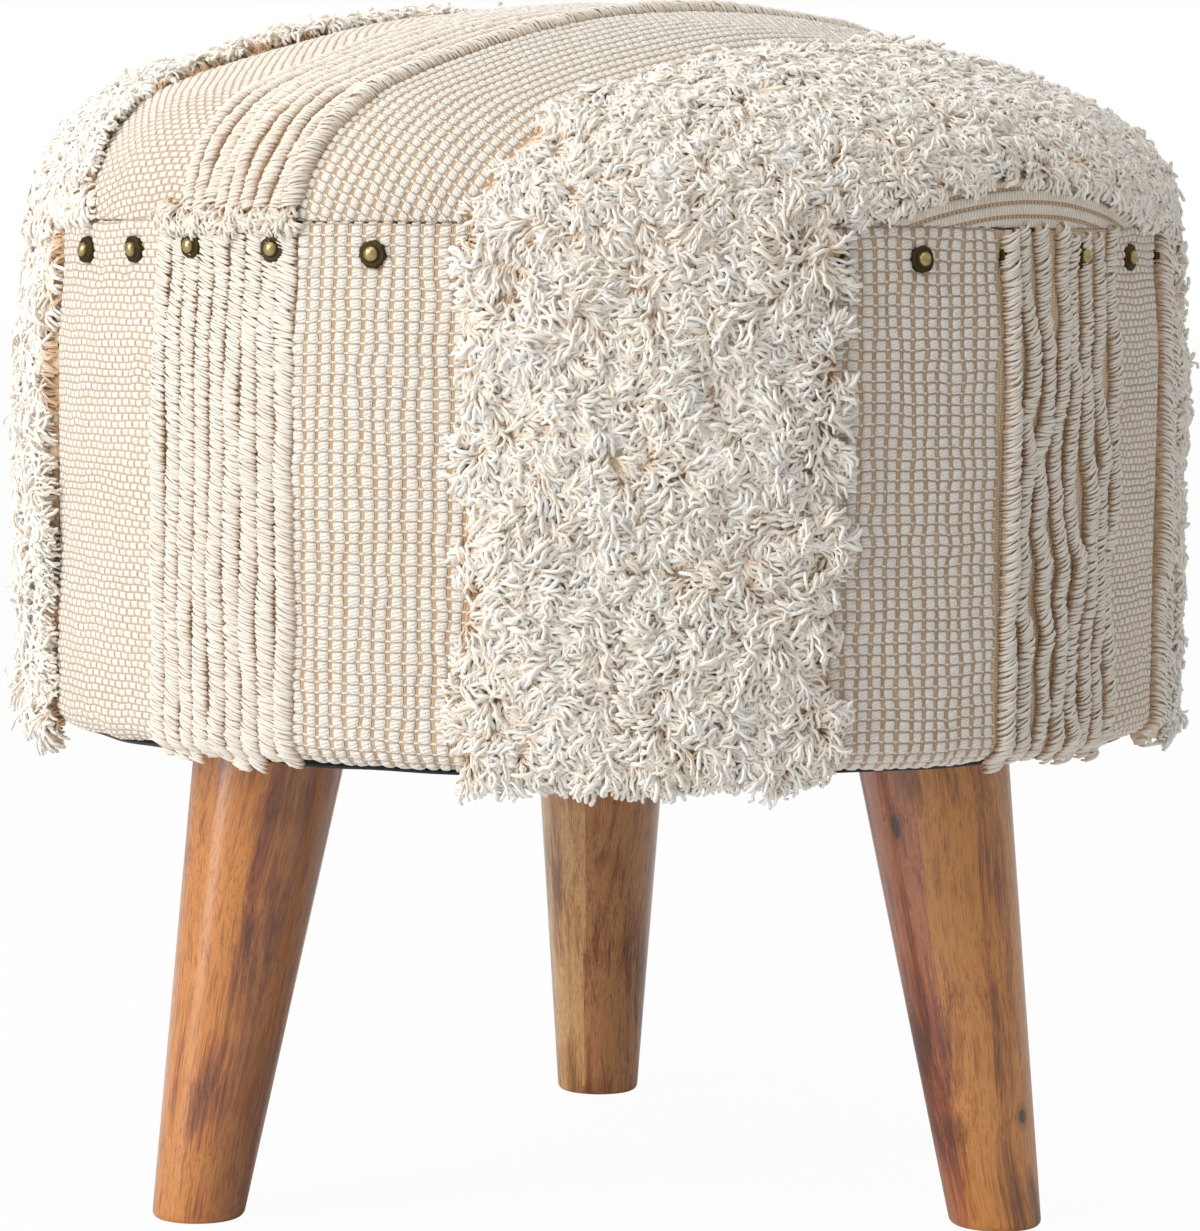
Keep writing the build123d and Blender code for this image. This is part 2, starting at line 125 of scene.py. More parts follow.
def cutOut(faces, gone):
    # faces without those whose points are all gone, numbered anew, then the points in use and the faces kept
    kept = ~gone[faces].all(1)
    used = np.unique(faces[kept])
    place = np.full(len(gone), -1)
    place[used] = np.arange(len(used))
    return place[faces[kept]], used, kept


def tubeRings(line, sideways, upright, radius, sides):
    # rings of points about lines, from two directions square to them
    turns = (np.arange(sides) / sides * 2 * np.pi)[:, None]
    ring = sideways[..., None, :] * np.cos(turns) + upright[..., None, :] * np.sin(turns)
    return line[..., None, :] + ring * radius[..., None, None]


def makePiece(name, points, faceSets, materials, maps, worn, nodes):
    # a mesh object from arrays of points and faces, riding on the one body
    corners = np.concatenate([faces.ravel() for faces in faceSets]).astype(np.int32)
    counts = np.concatenate([np.full(len(faces), faces.shape[1]) for faces in faceSets])
    mesh = bpy.data.meshes.new(name)
    mesh.vertices.add(len(points))
    mesh.vertices.foreach_set("co", np.asarray(points, np.float32).ravel())
    mesh.loops.add(len(corners))
    mesh.loops.foreach_set("vertex_index", corners)
    mesh.polygons.add(len(counts))
    mesh.polygons.foreach_set("loop_start", (np.cumsum(counts) - counts).astype(np.int32))
    mesh.polygons.foreach_set("use_smooth", np.ones(len(counts), bool))
    for material in materials:
        mesh.materials.append(material)
    if worn is not None:
        mesh.polygons.foreach_set("material_index", np.asarray(worn, np.int32))
    mesh.update(calc_edges=True)
    for mapName, places in (maps or {}).items():
        if places.shape[-1] == 2:
            layer = mesh.uv_layers.new(name=mapName, do_init=False)
            layer.uv.foreach_set("vector", places[corners].astype(np.float32).ravel())
        else:
            layer = mesh.attributes.new(mapName, "FLOAT_VECTOR", "POINT")
            layer.data.foreach_set("vector", places.astype(np.float32).ravel())
    piece = bpy.data.objects.new(name, mesh)
    bpy.context.scene.collection.objects.link(piece)
    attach(piece, "root")
    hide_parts(*nodes)
    return piece


# shader maths

class Link:
    # a shader value that takes part in Python expressions
    def __init__(self, tree, socket=None):
        self.tree = tree
        self.socket = socket

    def node(self, kind, settings=None, values=None, out=0):
        # one output of a new node with these settings, and these values or links at its inputs
        made = self.tree.nodes.new("ShaderNode" + kind)
        for key, value in (settings or {}).items():
            if key == "stops":
                ramp = made.color_ramp
                while len(ramp.elements) < len(value):
                    ramp.elements.new(0.5)
                for element, (place, colour) in zip(ramp.elements, value):
                    element.position = place
                    element.color = colour
            else:
                setattr(made, key, value)
        for key, value in (values or {}).items():
            if isinstance(value, Link):
                self.tree.links.new(value.socket, made.inputs[key])
            else:
                made.inputs[key].default_value = value
        return Link(self.tree, made.outputs[out])

    def maths(self, operation, *others):
        return self.node("Math", {"operation": operation}, dict(enumerate(others)))

    def vector(self, operation, *others, out=0):
        return self.node("VectorMath", {"operation": operation}, dict(enumerate((self, *others))), out)

    def __add__(self, other):
        return self.maths("ADD", self, other)

    def __sub__(self, other):
        return self.maths("SUBTRACT", self, other)

    def __rsub__(self, other):
        return self.maths("SUBTRACT", other, self)

    def __mul__(self, other):
        return self.maths("MULTIPLY", self, other)

    __radd__, __rmul__ = __add__, __mul__

    def larger(self, other):
        return self.maths("MAXIMUM", self, other)

    def wave(self, turns=1.0, shift=0.0):
        # from 0 to 1 and back, this many times in one unit
        return self.maths("SINE", (self * turns + shift) * (2 * math.pi)) * 0.5 + 0.5

    def fraction(self):
        return self.maths("FRACT", self)

    def whole(self):
        return self.maths("FLOOR", self)

    def part(self, index):
        return self.node("SeparateXYZ", None, {0: self}, index)

    def rise(self, low, high):
        # smoothly from 0 at low to 1 at high
        values = {"Value": self, "From Min": low, "From Max": high}
        return self.node("MapRange", {"interpolation_type": "SMOOTHSTEP"}, values)

    def window(self, low, high, soft):
        # 1 between low and high, with soft edges
        return self.rise(low, low + soft) * (1 - self.rise(high - soft, high))

    def blend(self, first, second):
        # colours mixed by this share of the second
        return self.node("Mix", {"data_type": "RGBA"}, {0: self, 6: first, 7: second}, 2)


def paint(red, green, blue):
    # a colour as a picture shows it, from 0 to 255, as the shader's own numbers
    return (*(((v / 255 + 0.055) / 1.055) ** 2.4 if v > 10 else v / 255 / 12.92 for v in (red, green, blue)), 1)


def newMaterial(name, roughness, **sockets):
    # a material and the start of its shader
    material = bpy.data.materials.new(name)
    material.use_nodes = True
    inputs = material.node_tree.nodes["Principled BSDF"].inputs
    inputs["Roughness"].default_value = roughness
    for key, value in sockets.items():
        inputs[key.replace("_", " ")].default_value = value
    return material, Link(material.node_tree)


def join(colour, bump, strength, distance, roughness=None):
    # links what changes over a surface to its shader
    inputs = colour.tree.nodes["Principled BSDF"].inputs
    normal = colour.node("Bump", None, {"Height": bump, "Strength": strength, "Distance": distance})
    colour.tree.links.new(colour.socket, inputs["Base Color"])
    colour.tree.links.new(normal.socket, inputs["Normal"])
    if roughness is not None:
        colour.tree.links.new(roughness.socket, inputs["Roughness"])


def mapParts(start, name):
    # the two numbers of a piece's own map
    place = start.node("UVMap", {"uv_map": name})
    return place.part(0), place.part(1)


def speckle(start, scale, detail=2.0, vector=None, roughness=0.5):
    # cloudy noise with this many clouds to a metre
    vector = vector or start.node("TexCoord", out=3)
    return start.node("TexNoise", None, {"Scale": scale, "Detail": detail, "Roughness": roughness, "Vector": vector})


def cellChance(u, v):
    # a number from 0 to 1 for each cell of a weave
    cell = u.node("CombineXYZ", None, {0: u.whole(), 1: v.whole()})
    return u.node("TexWhiteNoise", {"noise_dimensions": "3D"}, {"Vector": cell})


# the cloth's colours
cream = paint(255, 250, 242)
creamDeep = paint(246, 237, 223)
tanWarp = paint(184, 143, 99)
tanPale = paint(224, 196, 160)
# painted shade: the brown of the shadowed gaps and valleys in the weaves
gapShadeBrown = paint(156, 114, 72)

blockWide, blockTall = 0.73, 0.93  # the weft blocks' shares of their column and row
warpTall = 0.70  # how far the tan warps show, below the thin weft that crosses them
brickRows = 1.42  # rows of the finer weave to one of the blocks'
patchScale, fuzzScale = 22.0, 2600.0  # the cloth's uneven shade, and the fuzz of its yarn


def blockWeave():
    # rounded cream weft blocks in columns, with pairs of tan warps between them that a thin weft crosses
    material, start = newMaterial("blockWeave", 0.85, Sheen_Weight=0.15, Sheen_Roughness=0.5)
    u, v = mapParts(start, "weave")
    patches = speckle(start, patchScale, 3.0)
    fray = speckle(start, 1300.0, 3.0)
    fu, fv = (u + fray * 0.06 - 0.03).fraction(), (v + fray * 0.10 - 0.05).fraction()
    bx = start.maths("ABSOLUTE", fu * (2 / blockWide) - 1)
    by = start.maths("ABSOLUTE", fv * (2 / blockTall) - 1)
    bx, by = bx * bx, by * by
    block = 1 - (bx * bx + by * by).rise(0.68, 1.04)
    warps = fu.window(blockWide - 0.01, 1.01, 0.03) * fv.window(-0.06, warpTall, 0.10) * (1 - block)
    thinWeft = fu.window(blockWide - 0.08, 1.05, 0.08) * fv.window(warpTall, 1.02, 0.12) * (1 - block)
    chance = cellChance(u, v)
    plies = (fv * 3.1 + fu * 1.3 + fray * 0.5).wave()
    pale = (chance * 0.4 + patches * 0.5 + fray * 0.3 - 0.1).blend(creamDeep, cream)
    # painted shade: the grooves between the plies are darker
    pale = ((1 - plies.rise(0.0, 0.35)) * 0.35).blend(pale, paint(212, 190, 160))
    threads = fu.wave(7.7)
    # the warps' tan is their own uneven tone, darker in the grooves between threads as painted shade
    tan = (threads * 0.4 + chance * 0.4 + patches * 0.3).blend(tanWarp, tanPale)
    covered = block.larger(warps).larger(thinWeft)
    colour = warps.blend(pale, tan)
    # painted shade: where nothing covers the ground, the gaps and the blocks' rounded corners are brown
    colour = ((1 - covered) * (0.4 + 0.4 * fray)).blend(colour, gapShadeBrown)
    join(colour, plies * block * 1.1 + threads * warps * 0.6 + speckle(start, fuzzScale) * 0.6 + covered * 0.8,
         0.7, 0.0005)
    return material


def brickWeave():
    # finer weave of rounded floats, in which each row is set half a float along
    material, start = newMaterial("brickWeave", 0.85, Sheen_Weight=0.15, Sheen_Roughness=0.5)
    u, v = mapParts(start, "weave")
    row = v * brickRows
    shifted = u + row.whole() * 0.5
    fu, fv = shifted.fraction(), row.fraction()
    floats = fu.window(0.04, 0.96, 0.16) * fv.window(0.0, 1.0, 0.22)
    chance = cellChance(shifted, row)
    plies = (fv * 2.3 + fu * 1.1).wave()
    # the floats' own uneven tone, with painted shade darkening the grooves between plies
    shade = chance * 0.4 + speckle(start, patchScale, 3.0) * 0.5 + plies * 0.4 - 0.25
    ticks = (1 - fu.window(0.08, 0.92, 0.07)) * fv.window(0.08, 0.92, 0.2)
    colour = (ticks * (chance * 0.5 + 0.5)).blend(shade.blend(paint(234, 222, 204), cream), tanWarp)
    # painted shade: the gaps between the floats are brown
    colour = ((1 - floats) * (1 - ticks) * 0.6).blend(colour, gapShadeBrown)
    join(colour, plies * floats * 0.7 + floats + speckle(start, fuzzScale) * 0.5, 0.6, 0.0004)
    return material


def groundWeave():
    # fine ribbed ground cloth, under the pile and the cords and in the narrow edging
    material, start = newMaterial("groundWeave", 0.9, Sheen_Weight=0.1)
    u, v = mapParts(start, "weave")
    ribs = v.wave(4.0) * u.wave(3.0, 0.25)
    # painted shade: the valleys between the ribs are a darker tan
    colour = (ribs * 0.9 + speckle(start, 30.0, 3.0) * 0.2).blend(paint(200, 168, 128), creamDeep)
    join(colour, ribs + speckle(start, 2400.0) * 0.4, 0.5, 0.0004)
    return material


def stitchWeave():
    # fine ribs across the stripes, between rows of tan stitches that run along them
    material, start = newMaterial("stitchWeave", 0.88, Sheen_Weight=0.12)
    u, v = mapParts(start, "weave")
    fu = u.fraction()
    rows = fu.window(0.66, 1.0, 0.08)
    stitch = (v * 1.7 + fu * 0.35).fraction().window(0.0, 0.55, 0.14) * fu.window(0.70, 0.99, 0.08)
    ribs = (v * 2.4 + fu * 0.7).wave()
    colour = (ribs * 0.5 + speckle(start, 25.0, 3.0) * 0.5).blend(creamDeep, cream)
    # painted shade: darker between the ribs
    colour = ((1 - ribs.rise(0.0, 0.6)) * 0.55).blend(colour, paint(212, 184, 150))
    colour = (rows * 0.9).blend(colour, paint(186, 146, 104))
    colour = (stitch * 0.95).blend(colour, paint(240, 216, 184))
    join(colour, ribs * 0.7 * (1 - rows) + stitch * 1.2 + (1 - rows) * 0.8 + speckle(start, fuzzScale) * 0.5,
         0.7, 0.0006)
    return material


def pileBed():
    # the pile's roots, packed close, under the tufts, mottled cream and tan; the tan is painted shade deep in the pile
    material, start = newMaterial("pileBed", 0.95)
    colour = (speckle(start, 260.0, 4.0) * 1.6 - 0.3).blend(paint(216, 184, 140), paint(250, 240, 220))
    join(colour, speckle(start, 700.0, 4.0), 0.8, 0.0012)
    return material


def pileYarn(name, light, deep, root):
    # cut yarn: u is each strand's own tone and v runs from root to tip, and the colour turns tan towards the root as
    # painted shade
    material, start = newMaterial(name, 0.95, Specular_IOR_Level=0.2, Sheen_Weight=0.35, Sheen_Roughness=0.5)
    u, v = mapParts(start, "OFBake")
    # painted shade: low v takes the root colour, near the roots, at the loops' ends and on the cords' cores
    colour = (1 - v.rise(0.05, 0.70)).blend(u.blend(deep, light), root)
    join(colour, speckle(start, 1900.0), 0.3, 0.0003)
    return material


def lacqueredWood(name, light, mid, dark, knots=(), shadedSide=None):
    # lacquered hardwood: grain runs along the third number of the piece's own places, and painted shade can darken one
    # side, unevenly along the streaks
    material, start = newMaterial(name, 0.36, Coat_Weight=0.8, Coat_Roughness=0.2)
    place = start.node("Attribute", {"attribute_name": "grain"}, out=1)
    bends = {k: speckle(start, scale, 2.0, place) * 0.014 for k, scale in enumerate((14.0, 9.0))}
    bent = place.vector("ADD", start.node("CombineXYZ", None, bends))

    def stretched(share, scale, detail=3.0, rough=0.6):
        return speckle(start, scale, detail, bent.vector("MULTIPLY", (1.0, 1.0, share)), rough)

    figure = stretched(0.05, 110.0, 5.0)
    streaks = stretched(0.025, 460.0, 4.0, 0.7)
    hairs = stretched(0.05, 1700.0, 2.0)
    pore = stretched(0.05, 2600.0, 1.0).rise(0.60, 0.68)
    shade = figure * 1.3 + streaks * 0.9 + hairs * 0.6 + speckle(start, 26.0, 3.0, place) * 0.9 - 1.35
    stops = [(0.16, dark), (0.42, mid), (0.62, light), (0.88, mid)]
    colour = start.node("ValToRGB", {"stops": stops}, {0: shade})
    # painted shade: the side away from the light is darkened, more along the dark streaks
    if shadedSide:
        side = (place.part(0) * shadedSide[0] + place.part(1) * shadedSide[1] - shadedSide[2]).rise(-0.004, 0.014)
        colour = (side * (streaks * 0.5 + 0.14)).blend(colour, dark)
    colour = (pore * 0.5).blend(colour, paint(70, 36, 16))
    for spot, wide, tall in knots:
        away = place.vector("SUBTRACT", spot).vector("MULTIPLY", (1 / wide, 1 / wide, 1 / tall))
        away = away.vector("LENGTH", out=1) + (hairs - 0.5) * 0.5
        colour = ((1 - away.rise(1.0, 2.2)) * 0.45).blend(colour, dark)
        colour = (1 - away.rise(0.7, 1.05)).blend(colour, paint(70, 40, 24))
    join(colour, pore * -1.0 + hairs * 0.3, 0.15, 0.0002, streaks * 0.2 + pore * 0.2 + 0.24)
    return material


def antiqueBrass():
    # brass that is dark at the flange and rubbed bright on the dome
    material, start = newMaterial("antiqueBrass", 0.36, Metallic=1.0)
    height = mapParts(start, "dome")[1]
    pits = speckle(start, 900.0, 4.0)
    patina = (1 - height.rise(0.40, 0.80)) * 0.9 + pits * 0.25
    join(patina.blend(paint(180, 160, 112), paint(70, 60, 38)), pits, 0.5, 0.0004, patina * 0.35 + 0.22)
    return material


def blackFelt():
    material, start = newMaterial("blackFelt", 0.95, Sheen_Weight=0.3)
    fibres = speckle(start, 900.0, 5.0)
    join(fibres.blend(paint(22, 24, 30), paint(52, 54, 62)), fibres, 0.6, 0.0005)
    return material


def innerMaterial(name, light, dark, scale, stretch=(1.0, 1.0, 1.0), roughness=0.8, **sockets):
    # what the hidden pieces wear: two shades in a grain of their own
    material, start = newMaterial(name, roughness, **sockets)
    grain = speckle(start, scale, 4.0, start.node("TexCoord", out=3).vector("MULTIPLY", stretch), 0.6)
    join((grain * 1.4 - 0.2).blend(dark, light), grain, 0.3, 0.0003, grain * 0.2 + roughness - 0.1)
    return material


# the three legs

legs = {
    "angles": {"left": -60.0, "right": 60.0, "rear": 180.0},
    "splay": 9.6,
    "foot": 0.0334,  # diameters square to the leg's axis
    "top": 0.057,
    "axisRadius": 0.1395,  # the leg's axis to the drum's, at the drum's underside
    "edge": 0.0022,  # rounding of the foot's edge
    "sides": 96,
}


def buildLeg(name, materials, seamTurn, seamPlace):
    # glued up from two staves; the seam's way across the leg and its place, from the leg's axis
    angle, sides, edge = legs["angles"][name], legs["sides"], legs["edge"]
    lean, seam = math.radians(legs["splay"]), math.radians(seamTurn)
    length = drumBase / math.cos(lean)
    heights = [0.0, 0.0002, 0.0006, 0.0013, edge, 0.004, *np.linspace(0.008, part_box("leg_" + name)[1].z, 46)]
    turns = np.radians(np.arange(sides) * 360 / sides)
    rings = []
    for z in heights:
        radius = (legs["foot"] + (legs["top"] - legs["foot"]) * z / math.cos(lean) / length) / 2
        if z < edge:
            radius -= edge - math.sqrt(edge**2 - (edge - z) ** 2)
        reach = legs["axisRadius"] + (drumBase - z) * math.tan(lean) + radius * np.cos(turns) / math.cos(lean)
        ring = reach[:, None] * outward(angle) + (radius * np.sin(turns))[:, None] * along(angle)
        ring[:, 2] = z
        rings.append(ring)
    points = np.concatenate(rings)
    middle = len(points)
    grain = np.stack([points @ along(angle), points @ outward(angle) - legs["axisRadius"], points[:, 2]], -1)
    grain[:, 1] -= (drumBase - grain[:, 2]) * math.tan(lean)
    side = grain[:, 0] * math.cos(seam) + grain[:, 1] * math.sin(seam)
    faces = gridFaces(len(heights), sides, True)[:, ::-1]
    worn = np.concatenate([side[faces].mean(1) > seamPlace, np.zeros(2 * sides, bool)])
    points = np.concatenate([points, rings[0].mean(0)[None], rings[-1].mean(0)[None]])
    grain = np.concatenate([grain, grain[:1] * 0, grain[-1:]])
    ends = [fanFaces(0, sides, middle), fanFaces(middle - sides, sides, middle + 1, True)]
    makePiece("leg" + name.capitalize(), points, [faces, *ends], materials, {"grain": grain + seamTurn}, worn,
              ["leg_" + name])


def buildLegs():
    # each leg's places in the wood are seamTurn on from its axis, and so are the knots and the side painted in shade
    # the left leg's wood is painted darker on its right, as the shade away from the key light
    warm = lacqueredWood("legWoodWarm", paint(214, 138, 60), paint(170, 96, 40), paint(94, 46, 20),
                         shadedSide=(0.5, -0.866, -7.322))
    knots = [((59.9742, 59.9941, 60.148), 0.0020, 0.0052), ((59.9957, 60.0190, 60.042), 0.0022, 0.0030)]
    golden = lacqueredWood("legWoodGolden", paint(212, 142, 66), paint(180, 110, 44), paint(112, 62, 24), knots)
    red = lacqueredWood("legWoodRed", paint(198, 118, 72), paint(160, 88, 52), paint(108, 56, 32), knots)
    pale = lacqueredWood("legWoodPale", paint(238, 188, 124), paint(212, 154, 94), paint(148, 96, 54))
    brown = lacqueredWood("legWoodBrown", paint(212, 148, 92), paint(174, 112, 66), paint(94, 54, 32))
    buildLeg("left", [warm, warm], 20.0, 0.2)
    buildLeg("right", [red, golden], 60.0, -0.0104)
    buildLeg("rear", [pale, brown], 180.0, -0.0060)
    print("legs made")


# the crown's surface: an arc about the drum's axis, then a tighter shoulder arc, upright at its foot

crown = {
    "angle": 20.0,  # half the arc's angle
    "lip": 0.006,
    "straight": 0.0059,
    "skirt": 0.016,
    "skirtRadius": 0.2068,
    "slump": 0.0050,  # how far the stuffing has settled, and how much more on the right
    "slumpRight": 0.0026,
    "slumpFrom": 0.085,
    "slumpMost": 0.198,
}
shoulderHeight = rimHeight + crown["lip"]
crownSin, crownCos = math.sin(math.radians(crown["angle"])), math.cos(math.radians(crown["angle"]))
crownDepth = crownTop - shoulderHeight
crownRadius = crownEdge * crownCos - crownDepth * (1 - crownSin)
crownRadius /= crownSin * crownCos - (1 - crownSin) * (1 - crownCos)
shoulderRadius = (crownDepth - crownRadius * (1 - crownCos)) / crownCos
shoulderCentre = crownEdge - shoulderRadius
archRun = crownRadius * math.radians(crown["angle"])
shoulderRun = archRun + shoulderRadius * math.radians(90 - crown["angle"])
crownReach = shoulderRun + crown["lip"] + crown["skirt"]

stripeTurn = 45.0
across, onward = outward(stripeTurn), along(stripeTurn)  # the crown's stripes run onward, front left to back right


def crownPlace(c, t):
    # where a place of the flat cloth, c across the stripes and t along them, lies on the crown, and the way out
    c, t = np.broadcast_arrays(np.asarray(c, float), np.asarray(t, float))
    run = np.minimum(np.hypot(c, t), crownReach)
    turn = np.arctan2(t, c)
    onArch = run <= archRun
    lean = np.where(onArch, run / crownRadius, math.radians(crown["angle"]) + (run - archRun) / shoulderRadius)
    lean = np.minimum(lean, math.pi / 2)
    below = np.clip(run - shoulderRun, 0, None)
    tuck = 1 - np.sqrt(1 - np.clip((below - crown["straight"]) / (crown["lip"] - crown["straight"]), 0, 1) ** 2)
    rho = np.where(onArch, crownRadius * np.sin(lean), shoulderCentre + shoulderRadius * np.sin(lean))
    rho = rho - (crownEdge - crown["skirtRadius"]) * tuck
    domed, tight = crownTop - crownRadius * (1 - np.cos(lean)), shoulderHeight + shoulderRadius * np.cos(lean)
    flat = np.cos(turn)[..., None] * across + np.sin(turn)[..., None] * onward
    up = np.array([0, 0, 1.0])
    points = flat * rho[..., None] + up * (np.where(onArch, domed, tight) - below)[..., None]
    normals = flat * np.sin(lean)[..., None] + up * np.cos(lean)[..., None]
    low, most = crown["slumpFrom"], crown["slumpMost"]
    near = np.where(run < most, (run - low) / (most - low), (shoulderRun - run) / (shoulderRun - most))
    near = np.clip(near, 0, 1)
    slump = (crown["slump"] + crown["slumpRight"] * flat[..., 0]) * near**2 * (3 - 2 * near)
    return points - normals * slump[..., None], normals


def crownHeight(rho):
    # the crown's height this far from the drum's axis, before it slumps
    wide = crownTop - crownRadius + np.sqrt(np.maximum(crownRadius**2 - rho**2, 0))
    tight = shoulderHeight + np.sqrt(np.maximum(shoulderRadius**2 - (rho - shoulderCentre) ** 2, 0))
    return np.where(rho <= crownRadius * crownSin, wide, tight)


# the weave's relief, in the pattern that its materials paint

weave = {"columnPitch": 0.0052, "rowPitch": 0.0037, "brickPitch": 0.0046, "rowSteps": 7, "relief": 0.00105}
blockShares = (0.0, 0.08, 0.21, 0.51, 0.64, 0.73, 0.865)
evenShares = tuple(k / 6 for k in range(6))
stitchShares = (0.0, 0.2, 0.4, 0.6, 0.7, 0.78, 0.88, 0.98)
styles = {"block": 0, "brick": 1, "ground": 2, "stitch": 3}


def reliefOf(style, u, v, chance):
    # height of the cloth, as a share of the weave's relief
    fu, fv = u % 1, v % 1
    if style == "block":
        bx, by = np.abs(fu / blockWide * 2 - 1), np.abs(fv / blockTall * 2 - 1)
        hump = np.clip(1.06 - bx**5 - by**3.4, 0, 1) ** 0.6
        between = fu > blockWide + 0.02
        warp = 0.30 * between * (fv < warpTall)
        weft = 0.55 * between * np.clip(1 - np.abs(fv - (1 + warpTall) / 2) / 0.2, 0, 1)
        return np.maximum(np.maximum(hump * (0.8 + 0.3 * chance), warp), weft)
    if style == "brick":
        row = v * brickRows
        fu, fv = (u + 0.5 * np.floor(row)) % 1, row % 1
        return np.sin(np.pi * fv) ** 0.6 * np.clip(np.minimum(fu, 1 - fu) / 0.25, 0, 1) ** 0.6 * (0.7 + 0.3 * chance)
    if style == "stitch":
        return 0.75 - 0.6 * np.clip(np.minimum(fu - 0.62, 1.02 - fu) / 0.1, 0, 1) + 0.12 * np.sin(2 * np.pi * v * 3.4)
    return np.zeros(np.broadcast(u, v).shape)


def columnsOf(bands, pitches):
    # places across a cloth, each with its weave number and style, from bands of (start, end, style)
    columns = []
    count = 0
    for start, end, style in bands:
        pitch, shares = pitches[style]
        cells = max(1, round((end - start) / pitch))
        columns += [(start + (end - start) * (k + share) / cells, count + k + share, style)
                    for k in range(cells) for share in shares]
        count += cells
    columns.append((end, count, style))
    return (np.array(values) for values in zip(*columns))


def clothRelief(numbers, kinds, v, seed):
    # the relief all over a cloth, level where two bands meet
    row, column = (np.floor(v) - np.floor(v[0])).astype(int), np.floor(numbers).astype(int)
    chance = np.random.default_rng(seed).random((row[-1] + 1, column[-1] + 3))[row[:, None], column]
    relief = np.zeros(chance.shape)
    for style in styles:
        worn = kinds == style
        relief[:, worn] = reliefOf(style, numbers[worn], v[:, None], chance[:, worn])
    relief[:, 1:][:, kinds[1:] != kinds[:-1]] = 0
    return relief


def clothPiece(name, node, points, numbers, kinds, v, gone, materials):
    # a piece from a cloth's grid of points, cut off where they are gone
    faces, used, kept = cutOut(gridFaces(len(v), len(numbers)), gone.ravel())
    worn = np.tile([styles[kind] for kind in kinds[:-1]], len(v) - 1)[kept]
    weaveMap = np.stack(np.broadcast_arrays(numbers[None], v[:, None]), -1).reshape(-1, 2)[used]
    print(name, len(used), "points")
    return makePiece(name, points.reshape(-1, 3)[used], [faces], materials, {"weave": weaveMap}, worn,
                     [node])


# nails: those in view as the photograph shows them, and the rest evenly round the back

nails = {
    "seen": (-61.2, -51.4, -42.6, -32.4, -21.8, -12.1, -1.6, 9.3, 20.9, 30.4, 41.0, 52.1, 62.0),
    "count": 35,
    "height": 0.3562,
    "wander": 0.0014,
    "radius": 0.00475,
    "rise": 0.0034,
    "sides": 32,
}


def nailPlaces():
    seen = list(nails["seen"])
    hidden = nails["count"] - len(seen)
    gap = (360 - (seen[-1] - seen[0])) / (hidden + 1)
    angles = np.array(seen + [seen[-1] + gap * (k + 1) for k in range(hidden)])
    heights = nails["height"] + nails["wander"] * (np.random.default_rng(3).random(len(angles)) * 2 - 1)
    return angles, heights


nailAngles, nailHeights = nailPlaces()

# the side cloth, band by band round the drum, in degrees

pileEdges = (-12.4, 21.1)  # of the front band of pile
sideBands = [(-102.4, -68.4, "ground"), (-68.4, -47.4, "brick"), (-47.4, -29.8, "ground"), (-29.8, -12.4, "block"),
             (-12.4, 21.1, "ground")]
for turned in (0, 90, 180):  # the other quarters are alike
    sideBands += [(start + turned, end + turned, style) for start, end, style in (
        (21.1, 39.5, "block"), (39.5, 58.0, "ground"), (58.0, 70.0, "brick"), (70.0, 111.1, "ground"))]
sideBands[-1] = (250.0, 257.6, "ground")


def sideProfile():
    # the side cloth's outside from the hem's inner edge, over the fold and down to the turned-under foot
    fold = 0.0018

    def arc(radius, x, z, start, end):
        turns = np.radians(np.linspace(start, end, 9))
        return [(x + radius * math.cos(t), z + radius * math.sin(t)) for t in turns]

    points = [(waist - 2 * fold, rimHeight - 0.016), (waist - 2 * fold, rimHeight - fold)]
    points += arc(fold, waist - fold, rimHeight - fold, 180, 0)
    points += [(waist, rimHeight - 0.014), (waist + 0.0004, rimHeight - 0.020)]
    points += [(drumRadius - 0.0004, rimHeight - 0.036), (drumRadius, rimHeight - 0.042)]
    points += arc(footCorner, drumRadius - footCorner, clothBase + footCorner, 0, -90)
    return np.array(points + [(drumRadius - 0.036, clothBase)])


sideLine = sideProfile()
sideRuns = np.concatenate([[0], np.cumsum(np.linalg.norm(np.diff(sideLine, axis=0), axis=1))])


def sidePlace(run):
    # the side cloth's radius and height this far along its profile, and the two parts of the way out
    def lineAt(run):
        return np.interp(run, sideRuns, sideLine[:, 0]), np.interp(run, sideRuns, sideLine[:, 1])

    step = 0.0008
    (nearRadius, nearHeight), (farRadius, farHeight) = lineAt(run - step), lineAt(run + step)
    dr, dz = farRadius - nearRadius, farHeight - nearHeight
    scale = np.maximum(np.hypot(dr, dz), 1e-9)
    return (*lineAt(run), -dz / scale, dr / scale)


